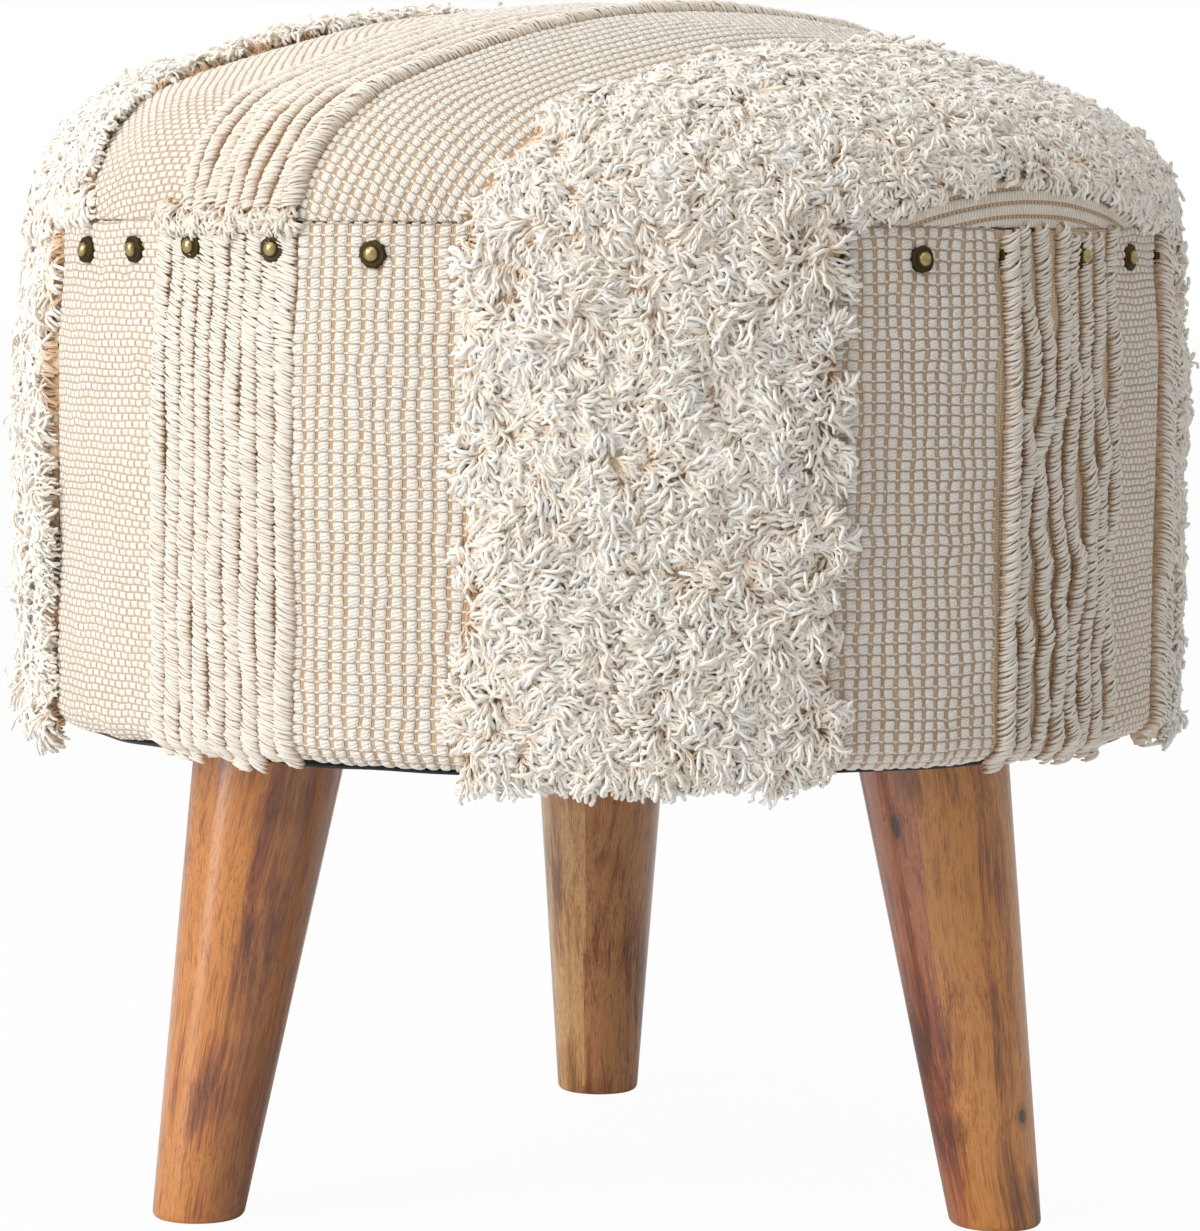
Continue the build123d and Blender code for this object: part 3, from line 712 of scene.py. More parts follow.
def buildSideCloth(materials):
    pitches = {"block": (weave["columnPitch"] * toDegrees, blockShares),
               "brick": (weave["brickPitch"] * toDegrees, evenShares), "ground": (0.0042 * toDegrees, (0.0,))}
    angles, numbers, kinds = columnsOf(sideBands, pitches)
    total = sideRuns[-1]
    v = np.arange(int(total / weave["rowPitch"]) * weave["rowSteps"] + 1) / weave["rowSteps"]
    relief = clothRelief(numbers, kinds, v, 11)
    radius, height, outNormal, upNormal = (values[:, None] for values in sidePlace(v * total / v[-1]))
    a, row = angles[None], v[:, None]
    wobble = (softNoise(a * 0.62, row * 0.5) - 0.5) * 1.6  # rows and columns run a little unevenly
    wobble = wobble + (softNoise(a * 0.12, row * 0.12, 3) - 0.5) * 2.5
    turn = a + (softNoise(a * 0.5, row * 0.45, 1) - 0.5) * 0.5
    lift = (softNoise(a / 14, height * 18, 2) - 0.5) * 0.0016
    top = np.clip((height - rimHeight + 0.02) / 0.02, 0, 1)
    pull = np.zeros_like(relief)
    for nailAngle, nailHeight in zip(nailAngles, nailHeights):  # the cloth dips round each nail
        gap = (a - nailAngle + 180) % 360 - 180
        near = (gap / toDegrees) ** 2 + (height - nailHeight) ** 2
        pull -= 0.0011 * np.exp(-near / 0.0045**2)
    reach = radius + outNormal * relief * weave["relief"] + lift + pull * (outNormal > 0.3)
    rise = height + upNormal * relief * weave["relief"] + wobble * weave["rowPitch"] * 0.17
    points = reach[..., None] * outward(turn)
    points[..., 2] = rise + top * (softNoise(a / 5, 0, 4) - 0.5) * 0.0016
    cloth = clothPiece("sideCloth", "side_cover", points, numbers, kinds, v, np.zeros(relief.shape, bool), materials)


# the crown's cloth, in stripes whose edges are metres from its middle line

stripes = {"leftPile": (-0.215, -0.062), "brick": (-0.062, 0.004), "cords": (0.004, 0.064),
           "block": (0.064, 0.131), "rightPile": (0.131, 0.228), "stitch": (0.2285, 0.262)}


def buildCrownCloth(materials):
    bands = [(-crownReach, stripes["leftPile"][0], "stitch"), (*stripes["leftPile"], "ground"),
             (*stripes["brick"], "brick"), (*stripes["cords"], "ground"), (*stripes["block"], "block"),
             (stripes["rightPile"][0], stripes["stitch"][0], "ground"), (*stripes["stitch"], "stitch")]
    pitches = {"block": (weave["columnPitch"], blockShares), "brick": (weave["brickPitch"], evenShares),
               "ground": (0.005, (0.0,)), "stitch": (0.0048, stitchShares)}
    places, numbers, kinds = columnsOf(bands, pitches)
    half = int(crownReach / weave["rowPitch"] * weave["rowSteps"]) + 1
    v = np.arange(-half, half + 1) / weave["rowSteps"]
    relief = clothRelief(numbers, kinds, v, 12)
    row = v[:, None]
    c, t = places[None], row * weave["rowPitch"]
    beyond = np.hypot(c, t) > crownReach
    sway = (softNoise(c * 160, row * 0.3, 8) - 0.5) * weave["rowPitch"] * 0.3
    drift = (softNoise(c * 40 + 9, row * 0.12, 9) - 0.5) * 0.0016
    points, normals = crownPlace(c + drift * ~beyond, t + sway * ~beyond)
    settle = (softNoise(c * 30, row * 0.06, 6) - 0.5) * 0.0030
    settle = settle * np.clip((points[..., 2] - rimHeight - 0.004) / 0.02, 0, 1)
    points = points + normals * (np.where(beyond, 0, relief) * weave["relief"] + settle)[..., None]
    cloth = clothPiece("crownCloth", "top_cover", points, numbers, kinds, v, beyond, materials)
    2 * crownReach
    2 * crownReach
    math.pi * crownReach**2


# cords: a core wrapped over its front by slanting loops of yarn

def coreMesh(path, normals, radii, wide=1.0, sides=8):
    # points, faces and map of a plain cord, round or this many times as wide as it is high
    heading = unit(np.gradient(path, axis=0))
    side = unit(np.cross(heading, normals))
    points = tubeRings(path, side * wide, np.cross(heading, side), radii, sides).reshape(-1, 3)
    count = len(points)
    ends = np.concatenate([fanFaces(0, sides, count, True), fanFaces(count - sides, sides, count + 1)])
    # the core's map sits low on the yarn's scale, so it takes the yarn's tan painted shade
    return (np.concatenate([points, path[[0, -1]]]), gridFaces(len(path), sides, True), ends,
            np.full((count + 2, 2), 0.35))


loops = {"rings": 7, "sides": 4, "wrap": 100.0}  # wrap is in degrees to each side of the cord's crest


def loopMesh(path, normals, width, rise, pitch, ply, slant, draw):
    # points, faces and map of loops of yarn that wrap over a cord; width and rise are halves, one for each point
    rings, sides = loops["rings"], loops["sides"]
    run = np.concatenate([[0], np.cumsum(np.linalg.norm(np.diff(path, axis=0), axis=1))])
    at = np.arange(pitch, run[-1] - pitch * 0.5, pitch)
    at = at + draw.uniform(-0.22, 0.22, len(at)) * pitch
    count = len(at)

    def sampled(values):
        return np.stack([np.interp(at, run, column) for column in values.reshape(len(path), -1).T], -1)

    centre, lift = sampled(path), unit(sampled(normals))
    heading = unit(sampled(np.gradient(path, axis=0)))
    side = unit(np.cross(lift, heading))
    width = sampled(width) * draw.uniform(0.86, 1.14, (count, 1))
    rise = sampled(rise) * draw.uniform(0.82, 1.16, (count, 1))
    slant = slant * draw.uniform(0.6, 1.4, (count, 1))
    turns = np.radians(np.linspace(-loops["wrap"], loops["wrap"], rings))[None] + draw.normal(0, 0.10, (count, 1))
    sway, crest = np.sin(turns)[..., None], np.cos(turns)[..., None]
    line = centre[:, None] + side[:, None] * sway * width[:, None] + lift[:, None] * crest * rise[:, None]
    line = line + heading[:, None] * sway * (slant * width)[:, None] + draw.normal(0, ply * 0.14, (count, rings, 3))
    aim = unit(np.gradient(line, axis=1))
    sideways = unit(np.cross(aim, unit(line - centre[:, None])))
    taper = np.interp(np.linspace(0, 1, rings), [0, 0.2, 0.8, 1], [0.6, 1, 1, 0.6])
    thick = ply * draw.uniform(0.85, 1.15, (count, 1)) * taper
    each = rings * sides
    tubes = tubeRings(line, sideways, np.cross(aim, sideways), thick, sides).reshape(count, each, 3)
    points = np.concatenate([tubes, line[:, [0, -1]]], 1)
    ends = np.concatenate([fanFaces(0, sides, each, True), fanFaces(each - sides, sides, each + 1)])
    shade = np.clip(0.5 + draw.normal(0, 0.2, (count, 1, 1)), 0.02, 0.98)
    # the second number is the loop's height over the cord, so its low ends take the yarn's painted shade
    marks = [np.broadcast_to(part, (count, rings, sides)) for part in (shade, np.clip(crest, 0.02, 0.98))]
    marks = np.stack(marks, -1).reshape(count, each, 2)
    marks = np.concatenate([marks, marks[:, [0, -1]]], 1)
    return (points.reshape(-1, 3), repeatFaces(gridFaces(rings, sides, True), count, each + 2),
            repeatFaces(ends, count, each + 2), marks.reshape(-1, 2))


def joinMeshes(parts):
    # one mesh's arrays from several
    points, quads, tris, places = zip(*parts)
    starts = np.cumsum([0] + [len(part) for part in points[:-1]])
    faces = [np.concatenate([part + start for part, start in zip(kind, starts)]) for kind in (quads, tris)]
    return np.concatenate(points), faces, np.concatenate(places)


sideCords = {
    "step": 0.0012,
    # start angle, end angle, cords, half width, rise, wander, loop pitch, ply, slant
    "left": (-47.4, -29.7, 9, 0.0037, 0.0021, 0.0005, 0.00102, 0.00052, 0.38),
    "other": (39.7, 58.0, 8, 0.0027, 0.0030, 0.0020, 0.00122, 0.00062, -0.55),
    "edge": (70.4, 77.4, 2, 0.0042, 0.0040, 0.0006, 0.0012, 0.00060, 0.5),
    "turns": {"front_right": 0, "rear_right": 90, "rear_left": 180},  # of the other bands and their edges
}


def drapedPath(angle, heights, off):
    # a line down the side at this angle and height, off the cloth, with the cloth's outward direction
    radius = np.interp(heights, [rimHeight - 0.042, rimHeight - 0.036, rimHeight - 0.018],
                       [drumRadius, drumRadius - 0.0004, waist])
    corner = np.clip((clothBase + footCorner - heights) / footCorner, 0, 1)
    radius = radius - footCorner * (1 - np.sqrt(np.clip(1 - corner**2, 0, 1))) * 0.6
    path = (radius + off)[:, None] * outward(angle)
    path[:, 2] = heights
    return path, outward(angle)


def sideCordParts(start, end, count, width, rise, wander, pitch, ply, slant, proudFirst, turned=0):
    start, end = start + turned, end + turned
    draw = np.random.default_rng(abs(int(start * 10)))
    step = (end - start) / count
    parts = []
    for k in range(count):
        top = rimHeight + 0.001 - draw.random() * 0.004
        foot = clothBase - 0.002 - draw.random() * 0.004
        heights = np.arange(top, foot, -sideCords["step"])
        shared = softNoise(heights * 28, k * 0.45, start) - 0.5
        own = softNoise(heights * 80, k * 5.3, start + 3) - 0.5
        first = proudFirst and k == 0
        free = 1 - 0.8 * first
        angle = start + step * (k + 0.5) + (shared * 2.0 + own * 1.2) * wander * 2 * toDegrees * free
        thick = (0.88 + 0.28 * softNoise(heights * 45, k * 3.1, 9)) * (1.12 if first else 1.0)
        tip = np.clip(np.minimum(heights - foot, top - heights) / 0.003, 0.3, 1) ** 0.5
        bulge = np.clip(softNoise(heights * 50, k * 2.3, 12) - 0.55, 0, 1) * 0.003
        proud = thick
        if not proudFirst and count > 2:  # the left cords lie flat at the top, and their last one stands up lower down
            low = np.clip((rimHeight - 0.035 - heights) / 0.05, 0, 1)
            proud = thick * (0.50 + 0.46 * low) * (1 + 0.2 * (k == count - 1) * (heights < rimHeight - 0.042))
        path, normals = drapedPath(angle, heights, bulge + 0.0004)
        core = min(width, rise) * (0.74 if proudFirst else 0.84) * tip * proud
        parts.append(coreMesh(path, normals, core, max(width / rise, 1.0)))
        parts.append(loopMesh(path, normals, width * thick, rise * proud, pitch, ply, slant, draw))
    return parts


def buildSideCords(name, material):
    if name == "front_left":
        parts = sideCordParts(*sideCords["left"], False)
        # short cut ends along the rim, where these cords meet the crown's
        draw = np.random.default_rng(77)
        angle = np.concatenate([np.linspace(-47.2, -29.9, 30), np.linspace(-46.9, -30.1, 30)])
        height = np.repeat([rimHeight + 0.0045, rimHeight + 0.0005], 30) + draw.normal(0, 0.001, 60)
        spots, normals = drapedPath(angle, height, 0.0)
        falls = np.tile([0, 0, -1.0], (60, 1))
        parts.append(tuftMesh(spots, normals, falls, draw.random(60), draw, 0.62))
    else:  # with thick fuzzy cords beside the next band of pile
        turned = sideCords["turns"][name]
        parts = sideCordParts(*sideCords["other"], True, turned) + sideCordParts(*sideCords["edge"], False, turned)
    points, faces, places = joinMeshes(parts)
    makePiece("sideCords_" + name, points, faces, [material], {"OFBake": places}, None,
              ["cord_band_" + name])


crownCords = {
    "count": 9,
    "step": 0.0015,
    "wander": 0.0022,
    # half width, rise, loop pitch, ply, slant; the edge is a thicker, finer-looped and fuzzier rib
    "plain": (0.0026, 0.0026, 0.0012, 0.00056, -0.5),
    "rib": (0.0036, 0.0044, 0.0009, 0.00045, -0.5),
}


def buildCrownCords(material):
    draw = np.random.default_rng(21)
    first, last = stripes["cords"]
    count = crownCords["count"]
    parts = []
    for k in range(count):
        c = first + (last - first) / count * (k + 0.5)
        end = math.sqrt((shoulderRun + 0.003) ** 2 - c**2) + draw.uniform(-0.002, 0.001)
        t = np.arange(-end, end, crownCords["step"])
        free = np.clip(np.abs(t) / 0.19, 0, 1) ** 3  # the cords lie straighter and flatter on top
        sway = (softNoise(t * 30, k * 0.5, 31) - 0.5) * 2 + (softNoise(t * 75, k * 4.1, 33) - 0.5)
        thick = (0.9 + 0.22 * softNoise(t * 40, k * 3.3, 35)) * (0.72 + 0.28 * free)
        tip = np.clip((end - np.abs(t)) / 0.004, 0.3, 1) ** 0.5
        path, normals = crownPlace(c + sway * crownCords["wander"] * (0.35 + 0.65 * free), t)
        width, rise, *yarn = crownCords["plain"]
        if k == count - 1:
            width, rise, *yarn = crownCords["rib"]
            thick = 0.9 + 0.25 * softNoise(t * 60, 0.0, 36)
        parts.append(coreMesh(path + normals * (rise * 0.1), normals, width * 0.91 * thick * tip))
        parts.append(loopMesh(path, normals, width * thick, rise * thick, *yarn, draw))
    points, faces, places = joinMeshes(parts)
    makePiece("crownCords", points, faces, [material], {"OFBake": places}, None, ["top_cords"])
    print("crown cords made")


# shag: tufts of cut yarn, each a small brush of strands

pile = {
    "spacing": 0.0029,
    "strands": 7,
    "length": 0.0128,
    "radius": 0.00056,
    "rootSpread": 0.0013,
    "crimp": 0.0006,
    "bend": (1.75, 2.9),
    "bed": 0.0027,
    "sides": 4,
    "rings": 8,
    "bands": (1.0, 0.86, 1.0, 1.16),  # front, right, rear and left: how long each side band's yarn is
    "sideBed": (90, 64),  # rows and columns of the bed's grid
    "crownBed": (150, 60),
}


def tuftMesh(spots, normals, falls, leans, draw, length=1.0):
    # points, faces and map of the strands of all the tufts: blunt curls that rise from the cloth and bend over together
    tufts, strands, sides, rings = len(spots), pile["strands"], pile["sides"], pile["rings"]
    size = (tufts, strands)
    upward = normals[:, None, None]
    falls = falls + draw.normal(0, 0.35, (tufts, 3))
    falls = unit(falls - normals * (falls * normals).sum(1, keepdims=True))
    side = np.cross(normals, falls)
    turn = draw.random(size) * 2 * math.pi
    spread = pile["rootSpread"] * np.sqrt(draw.random(size))
    root = spots[:, None] + falls[:, None] * (spread * np.cos(turn))[..., None]
    root = root + side[:, None] * (spread * np.sin(turn))[..., None]
    steps = np.linspace(0, 1, rings)
    low, high = pile["bend"]
    bend = low + (high - low) * draw.random((tufts, 1)) + 0.35 * leans[:, None] + draw.normal(0, 0.24, size)
    heel = 0.10 + 0.25 * leans[:, None] * draw.random((tufts, 1))
    lean = (heel + draw.normal(0, 0.12, size))[..., None] + bend[..., None] * steps**1.25
    curl = draw.normal(0, 1.0, (tufts, 1)) + draw.normal(0, 0.45, size)
    veer = draw.normal(0, 0.34, size)[..., None] + curl[..., None] * steps
    away = falls[:, None, None] * np.cos(veer)[..., None] + side[:, None, None] * np.sin(veer)[..., None]
    aim = upward * np.cos(lean)[..., None] + away * np.sin(lean)[..., None]
    tall = pile["length"] * length * (0.78 + 0.34 * draw.random((tufts, 1))) * (1 + draw.normal(0, 0.07, size))
    move = (aim[:, :, 1:] + aim[:, :, :-1]) / 2 * (tall / (rings - 1))[..., None, None]
    line = np.concatenate([root[:, :, None], root[:, :, None] + np.cumsum(move, 2)], 2)
    # each strand is crimped, as unravelled yarn is
    beat = (steps * (tall / 0.0068)[..., None] + draw.random(size)[..., None]) * 2 * math.pi
    crimp = pile["crimp"] * draw.uniform(0.4, 1.4, size)[..., None] * np.clip(steps * 3, 0, 1)
    line = line + unit(np.cross(upward, away)) * (np.sin(beat) * crimp)[..., None]
    line = line + upward * (np.cos(beat * 0.9) * crimp * 0.6)[..., None]
    line = line + draw.normal(0, 0.00014, line.shape)
    aim = unit(np.gradient(line, axis=2))
    radius = (pile["radius"] * (0.72 + 0.56 * draw.random(size)))[..., None]
    radius = radius * np.interp(steps, [0, 0.4, 0.8, 1], [0.9, 1.0, 1.2, 1.1])
    tip = line[:, :, -1] + aim[:, :, -1] * radius[:, :, -1:] * 0.8
    sideways = unit(np.cross(aim, upward + 1e-3))
    each = rings * sides
    tubes = tubeRings(line, sideways, np.cross(aim, sideways), radius, sides).reshape(tufts * strands, each, 3)
    points = np.concatenate([tubes, tip.reshape(-1, 1, 3)], 1)
    own = np.clip(draw.random((tufts, 1)) * 0.6 + 0.2 + draw.normal(0, 0.16, size), 0.02, 0.98).reshape(-1, 1)
    # v runs from root to tip; near the root the yarn's material paints it tan as shade
    level = np.concatenate([np.repeat(steps * 0.93 + 0.02, sides), [0.98]])
    places = np.stack(np.broadcast_arrays(own, level[None]), -1)
    return (points.reshape(-1, 3), repeatFaces(gridFaces(rings, sides, True), tufts * strands, each + 1),
            repeatFaces(fanFaces(each - sides, sides, each), tufts * strands, each + 1), places.reshape(-1, 2))


def scatter(low, high, spacing, draw):
    # jittered grid of places in a rectangle, every other row set half a step along
    columns = np.arange(low[0], high[0], spacing)
    rows = np.arange(low[1], high[1], spacing * 0.9)
    x, y = np.meshgrid(columns, rows)
    x = x + (np.arange(len(rows)) % 2)[:, None] * spacing / 2
    x = x + draw.uniform(-0.3, 0.3, x.shape) * spacing
    y = y + draw.uniform(-0.3, 0.3, y.shape) * spacing
    return x.ravel(), y.ravel()


def flowOf(x, y, down, sideways, shift, strength):
    # the way tufts lie: mostly down, turning by up to this many half turns from clump to clump
    swirl = (softNoise(x * 55, y * 55, shift) - 0.5) * 2 + (softNoise(x * 140, y * 140, shift + 5) - 0.5)
    swirl = swirl * math.pi * strength
    return down * np.cos(swirl)[:, None] + sideways * np.sin(swirl)[:, None]


def makePile(name, node, tufts, spots, normals, share, materials):
    # a piece of pile: its tufts, and under them a lumpy bed, a closed slab on a grid of spots
    points, quads, caps, places = tufts
    rows, columns = spots.shape[:2]
    lump = softNoise(spots[..., 0] * 330 + spots[..., 1] * 190, spots[..., 2] * 330 - spots[..., 1] * 120, 14)
    edge = np.minimum.outer(*(np.minimum(np.arange(n), n - 1 - np.arange(n)) for n in (rows, columns)))
    height = pile["bed"] * share * (0.55 + 0.75 * lump) * np.clip(edge / 3, 0, 1) ** 0.5
    top = spots + normals * height[..., None]
    bed = np.concatenate([top.reshape(-1, 3), (spots - normals * 0.0005).reshape(-1, 3)])
    count = rows * columns
    grid = np.arange(count).reshape(rows, columns)
    rim = np.concatenate([grid[0], grid[1:, -1], grid[-1, -2::-1], grid[-2:0:-1, 0]])
    after = np.roll(rim, -1)
    faces = gridFaces(rows, columns)
    faces = np.concatenate([faces, faces[:, ::-1] + count, np.stack([rim, rim + count, after + count, after], -1)])
    worn = np.repeat([0, 1, 0], [len(quads), len(faces), len(caps)])
    makePiece(name, np.concatenate([points, bed]), [np.concatenate([quads, faces + len(points)]), caps], materials,
              {"OFBake": np.concatenate([places, np.full((len(bed), 2), 0.5)])}, worn, [node])
    print(name, len(points) // (pile["rings"] * pile["sides"] + 1) // pile["strands"], "tufts")


def buildSidePile(name, quarter, materials):
    draw = np.random.default_rng(40 + quarter)
    start, end = (edge + 90 * quarter for edge in pileEdges)
    width = math.radians(end - start) * drumRadius
    x, height = scatter((0.0006, clothBase + 0.001), (width - 0.0004, rimHeight + 0.004), pile["spacing"], draw)
    angle = start + np.degrees(x / drumRadius)
    spots, normals = drapedPath(angle, height, 0.0)
    down = np.tile([0, 0, -1.0], (len(x), 1))
    falls = flowOf(x, height, down, along(angle), quarter, 1.0)
    low = np.clip((clothBase + 0.012 - height) / 0.012, 0, 1)
    falls = unit(falls * (1 - 0.8 * low[:, None]) + down * low[:, None])
    upper = np.clip((height - rimHeight + 0.035) / 0.03, 0, 1)
    leans = 0.15 + 0.8 * softNoise(x * 60 + 4, height * 60, quarter + 20) + 0.4 * low + upper * 0.8
    length = pile["bands"][quarter] * (0.72 + 0.54 * softNoise(x * 75, height * 75, quarter + 7))
    tufts = tuftMesh(spots, normals, falls, leans, draw, length[:, None])
    rows, columns = pile["sideBed"]
    bedAngles = np.linspace(start + 0.4, end - 0.3, columns)
    bedHeights = np.linspace(clothBase + 0.004, rimHeight + 0.001, rows)
    bedSpots = np.stack([drapedPath(np.full(rows, angle), bedHeights, 0.0)[0] for angle in bedAngles], 1)
    makePile("sidePile_" + name, "pile_band_" + name, tufts, bedSpots, outward(bedAngles), 1.0, materials)


def buildCrownPile(name, low, high, materials, seed):
    draw = np.random.default_rng(seed)
    c, t = scatter((low + 0.002, -shoulderRun), (high - 0.001, shoulderRun), pile["spacing"], draw)
    kept = np.hypot(c, t) < shoulderRun + 0.003
    c, t = c[kept], t[kept]
    spots, normals = crownPlace(c, t)
    flat = unit(spots * [1, 1, 0])
    down = unit(flat - normals * (flat * normals).sum(1, keepdims=True))
    falls = flowOf(c + 3, t + 3, down, np.cross(normals, down), seed, 0.8)
    rim = np.clip((np.hypot(c, t) - shoulderRun + 0.012) / 0.012, 0, 1)
    falls = unit(falls * (1 - 0.7 * rim[:, None]) + down * rim[:, None])
    leans = 0.15 + 0.7 * softNoise(c * 60 + 4, t * 60, seed) + 0.3 * rim
    edge = np.clip((np.hypot(c, t) - archRun + 0.03) / 0.05, 0, 1)
    length = (0.74 + 0.28 * softNoise(c * 75, t * 75, seed + 2)) * (1 - 0.14 * edge)
    tufts = tuftMesh(spots, normals, falls, leans, draw, length[:, None])
    rows, columns = pile["crownBed"]
    bedC = np.linspace(low + 0.001, high - 0.001, columns)
    bedT = np.linspace(-1, 1, rows)[:, None] * np.sqrt((shoulderRun + 0.002) ** 2 - bedC**2)[None]
    makePile("crownPile_" + name, "top_pile_" + name, tufts, *crownPlace(bedC[None], bedT), 0.75, materials)


def buildNails(material):
    # a high dome on a rough, dished flange, thirty-five times
    profile = [(1.0, -0.35), (1.0, 0.12), (0.97, 0.26), (0.90, 0.34), (0.78, 0.34), (0.66, 0.28), (0.58, 0.34)]
    profile += [(0.56 * math.cos(t), 0.42 + 0.55 * math.sin(t)) for t in np.linspace(0.2, math.pi / 2 * 0.94, 8)]
    profile = np.array(profile)
    reach, level = profile[:, :1], profile[:, 1:]
    draw = np.random.default_rng(8)
    sides = nails["sides"]
    turns = np.arange(sides) * 2 * np.pi / sides
    parts = []
    for angle, height in zip(nailAngles, nailHeights):
        tilt = draw.normal(0, 0.07, 2)
        rough = 1 + 0.035 * draw.normal(0, 1, sides)
        radius = reach * nails["radius"] * np.where(reach > 0.75, rough[None], 1)
        x, y = radius * np.cos(turns), radius * np.sin(turns)
        out = waist + 0.0009 + (level * nails["rise"] + x * tilt[0] + y * tilt[1])
        spot = out[..., None] * outward(angle) + x[..., None] * along(angle)
        spot[..., 2] += height + y
        crest = spot[-1].mean(0) + outward(angle) * 0.00003
        count = spot[..., 0].size
        places = np.stack(np.broadcast_arrays(turns / (2 * np.pi), level), -1).reshape(-1, 2)
        parts.append((np.concatenate([spot.reshape(-1, 3), crest[None]]), gridFaces(len(profile), sides, True),
                      fanFaces(count - sides, sides, count), np.concatenate([places, [[0.5, 1.0]]])))
    points, faces, places = joinMeshes(parts)
    makePiece("domeNails", points, faces, [material], {"dome": places}, None, ["dome_nails"])
    print("nails made")


felt = {"rings": 40, "sides": 240, "thickness": 0.0011, "overlap": 0.003}


def buildDustCover(material):
    # black felt that sags a little between its staples, with holes where the legs pass
    rings, sides = felt["rings"], felt["sides"]
    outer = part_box("dust_cover")[1].x + felt["overlap"]
    radius = outer * np.linspace(0, 1, rings)[:, None]
    points = radius[..., None] * outward(np.arange(sides) * 360 / sides)[None]
    points[..., 2] = drumBase + 0.0002 - 0.0012 * softNoise(points[..., 0] * 40, points[..., 1] * 40, 3)
    points = points.reshape(-1, 3)
    holes = np.zeros(len(points), bool)
    for angle in legs["angles"].values():
        away = (points - outward(angle) * legs["axisRadius"])[:, :2]
        holes |= np.linalg.norm(away, axis=1) < legs["top"] / 2 - 0.002
    faces, used, _ = cutOut(gridFaces(rings, sides, True)[sides:], holes)
    cover = makePiece("dustCover", points[used], [faces[:, ::-1]], [material], None, None,
                      ["dust_cover"])
    cover.modifiers.new("cloth", "SOLIDIFY").thickness = felt["thickness"]


def ringPiece(name, profile, material, node, rough, sides=120):
    # a padded piece lathed from a closed profile of (radius, height), a little uneven
    profile = np.array(profile)
    points = profile[:, None, :1] * outward(np.arange(sides) * 360 / sides)[None]
    points[..., 2] += profile[:, None, 1]
    points = points.reshape(-1, 3)
    shake = softNoise(points[:, 0] * 60, points[:, 1] * 60 + points[:, 2] * 40, 5)[:, None] - 0.5
    points = points * (1 + shake * rough * [1, 1, 0])
    ring = np.arange(sides)
    after, last = (ring + 1) % sides, len(points) - sides
    faces = np.concatenate([gridFaces(len(profile), sides, True),
                            np.stack([last + ring, last + after, after, ring], -1)])
    makePiece(name, points, [faces], [material], None, None, [node])


def buildInside():
    # the fill, the foam and the wadding, which the cloth hides
    fibre = innerMaterial("fibreFill", paint(244, 244, 240), paint(214, 214, 208), 120.0)
    foam = innerMaterial("openFoam", paint(238, 228, 186), paint(206, 192, 146), 420.0)
    wadding = innerMaterial("wadding", paint(240, 240, 236), paint(208, 208, 202), 180.0)
    centre = 0.001  # the profiles stop this short of the drum's axis
    low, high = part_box("seat_foam")
    ringPiece("seatFoam", [(centre, low.z), (high.x - 0.002, low.z), (high.x, low.z + 0.003),
                           (high.x, high.z - 0.004), (high.x - 0.004, high.z), (centre, high.z)],
              foam, "seat_foam", 0.004)
    fillBase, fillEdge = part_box("crown_fill")[0].z, 0.2045
    profile = [(centre, high.z + 0.001), (high.x + 0.001, high.z + 0.001), (high.x + 0.001, fillBase),
               (fillEdge, fillBase), (fillEdge, rimHeight)]
    profile += [(max(rho, centre), float(crownHeight(rho)) - 0.0110)
                for rho in np.linspace(0.0, crownEdge - 0.004, 26)[::-1]]
    ringPiece("crownFill", profile, fibre, "crown_fill", 0.004)
    low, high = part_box("side_wadding")
    inner = 0.2056
    ringPiece("sideWadding", [(inner, low.z), (high.x, low.z), (high.x, high.z - 0.03), (high.x - 0.0022, high.z),
                              (inner, high.z)], wadding, "side_wadding", 0.002)


def dressInside():
    # what the carried-over pieces wear
    ply = innerMaterial("birchPly", paint(214, 182, 136), paint(172, 136, 92), 30.0, (1.0, 0.2, 6.0), 0.7)
    sawn = innerMaterial("sawnPine", paint(222, 190, 142), paint(184, 146, 98), 45.0, (1.0, 1.0, 0.12), 0.75)
    board = innerMaterial("hardboard", paint(124, 88, 58), paint(88, 60, 38), 300.0)
    zinc = innerMaterial("zincSteel", paint(178, 178, 172), paint(132, 132, 128), 260.0, roughness=0.42, Metallic=1.0)
    wears = {"base_board": ply, "seat_board": ply, "drum_wall": board}
    wears.update({f"post_{k}": sawn for k in range(1, 7)})
    wears.update({"leg_block_" + name: sawn for name in legs["angles"]})
    wears.update({name: zinc for name in ("hanger_bolts", "leg_nuts", "block_brads", "post_brads",
                                          "side_cover_staples", "dust_cover_staples")})
    for name, material in wears.items():
        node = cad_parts[name]
        node.data.materials.clear()
        node.data.materials.append(material)


# camera, floor and light

view = {"place": (-0.001, -1.722, 0.3646), "pitch": 4.92, "roll": 0.57, "focal": 4503.0,
        "imageHeight": 1231, "sensor": 36.0}
stage = {"half": 14.0, "below": 0.0002, "glow": 0.965}  # the floor, and the share of its white that only shows
lights = {
    "world": 0.385,
    "glossy": 0.6,  # how white the surroundings are in reflections
    "lamps": [
        # name, place, aim, size, watts
        ("keyBox", (-2.0, -1.5, 1.5), (0, 0, 0.28), (1.4, 1.4), 35.0),
        ("sideStrip", (-1.97, -1.04, 0.55), (-0.2, -0.1, 0.2), (0.7, 1.1), 8.5),
        ("topBox", (-0.2, -0.4, 2.2), (0, 0, 0.3), (1.6, 1.6), 14.5),
    ],
}


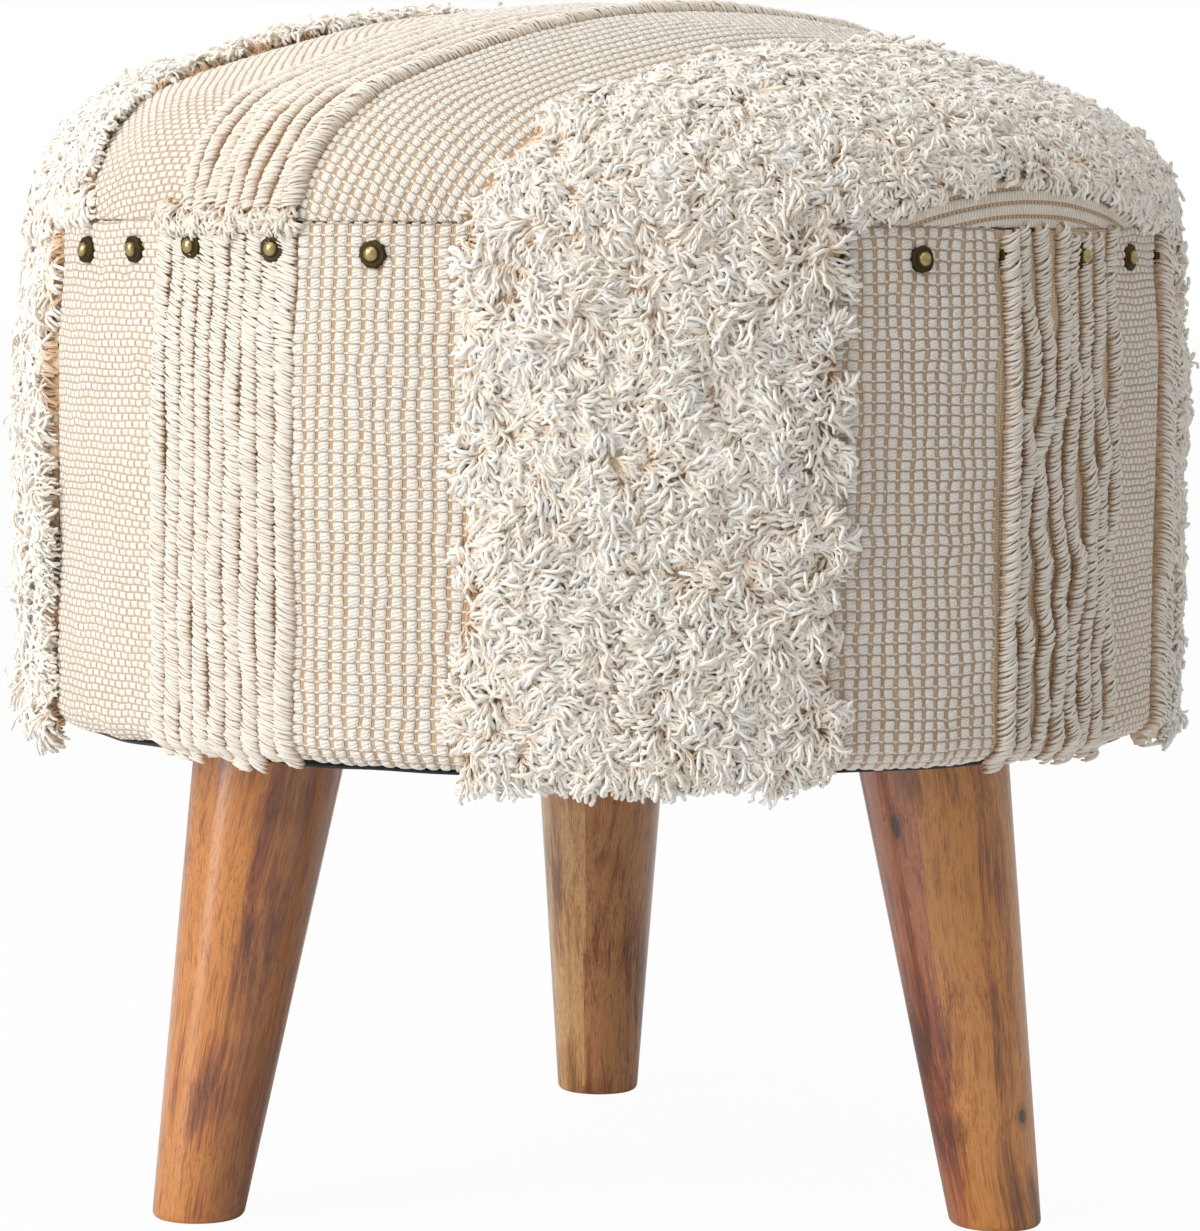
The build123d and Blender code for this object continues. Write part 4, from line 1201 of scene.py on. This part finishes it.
def setStage():
    scene = bpy.context.scene
    lens = bpy.data.cameras.new("camera")
    lens.sensor_width = view["sensor"]
    lens.lens = view["focal"] * view["sensor"] / view["imageHeight"]
    lens.clip_start, lens.clip_end = 0.05, 60
    camera = bpy.data.objects.new("camera", lens)
    pitch, roll = math.radians(90 - view["pitch"]), math.radians(view["roll"])
    turn = Matrix.Rotation(pitch, 4, "X") @ Matrix.Rotation(roll, 4, "Z")
    camera.matrix_world = Matrix.Translation(view["place"]) @ turn
    scene.collection.objects.link(camera)
    scene.camera = camera

    white = paint(250, 250, 250)
    material, start = newMaterial("paleFloor", 0.9, Base_Color=white)
    nodes = start.tree.nodes
    glow = start.node("Emission", None, {"Color": (1, 1, 1, 1), "Strength": 1.0})
    seen = start.node("LightPath") * stage["glow"]
    mixed = start.node("MixShader", None, {0: seen, 1: Link(start.tree, nodes["Principled BSDF"].outputs[0]), 2: glow})
    start.tree.links.new(mixed.socket, nodes["Material Output"].inputs["Surface"])
    half, level = stage["half"], floorHeight - stage["below"]
    mesh = bpy.data.meshes.new("floor")
    mesh.from_pydata([(x, y, level) for x, y in ((-half, -half), (half, -half), (half, half), (-half, half))],
                     [], [(0, 1, 2, 3)])
    mesh.materials.append(material)
    floor = bpy.data.objects.new("floor", mesh)
    scene.collection.objects.link(floor)

    world = bpy.data.worlds.new("studio")
    scene.world = world
    world.use_nodes = True
    tree = world.node_tree
    path = tree.nodes.new("ShaderNodeLightPath")
    direct, glossy, through = (Link(tree, path.outputs[f"Is {kind} Ray"])
                               for kind in ("Camera", "Glossy", "Transmission"))
    seen = direct.larger((glossy * lights["glossy"]).larger(through))
    shine = tree.nodes["Background"].inputs
    shine["Color"].default_value = (1, 1, 1, 1)
    strength = seen * (1 - lights["world"]) + lights["world"]
    tree.links.new(strength.socket, shine["Strength"])

    for name, place, aim, size, power in lights["lamps"]:
        data = bpy.data.lights.new(name, "AREA")
        data.shape = "RECTANGLE"
        data.size, data.size_y = size
        data.energy = power
        lamp = bpy.data.objects.new(name, data)
        lamp.location = place
        lamp.rotation_euler = (Vector(aim) - Vector(place)).to_track_quat("-Z", "Y").to_euler()
        scene.collection.objects.link(lamp)
    scene.view_settings.view_transform = "Standard"
    print("stage set")


setStage()
buildLegs()
clothMaterials = [blockWeave(), brickWeave(), groundWeave(), stitchWeave()]
buildSideCloth(clothMaterials)
buildCrownCloth(clothMaterials)
cordYarn = pileYarn("cordYarn", paint(248, 242, 233), paint(240, 230, 215), paint(214, 184, 150))
for bandName in ("front_left", *sideCords["turns"]):
    buildSideCords(bandName, cordYarn)
print("side cords made")
buildCrownCords(cordYarn)
pileMaterials = [pileYarn("pileYarn", paint(255, 254, 250), paint(254, 244, 229), paint(228, 193, 154)), pileBed()]
for quarter, bandName in enumerate(("front", "right", "rear", "left")):
    buildSidePile(bandName, quarter, pileMaterials)
buildCrownPile("left", *stripes["leftPile"], pileMaterials, 51)
buildCrownPile("right", *stripes["rightPile"], pileMaterials, 52)
buildNails(antiqueBrass())
buildDustCover(blackFelt())
buildInside()
dressInside()
print("inside made")
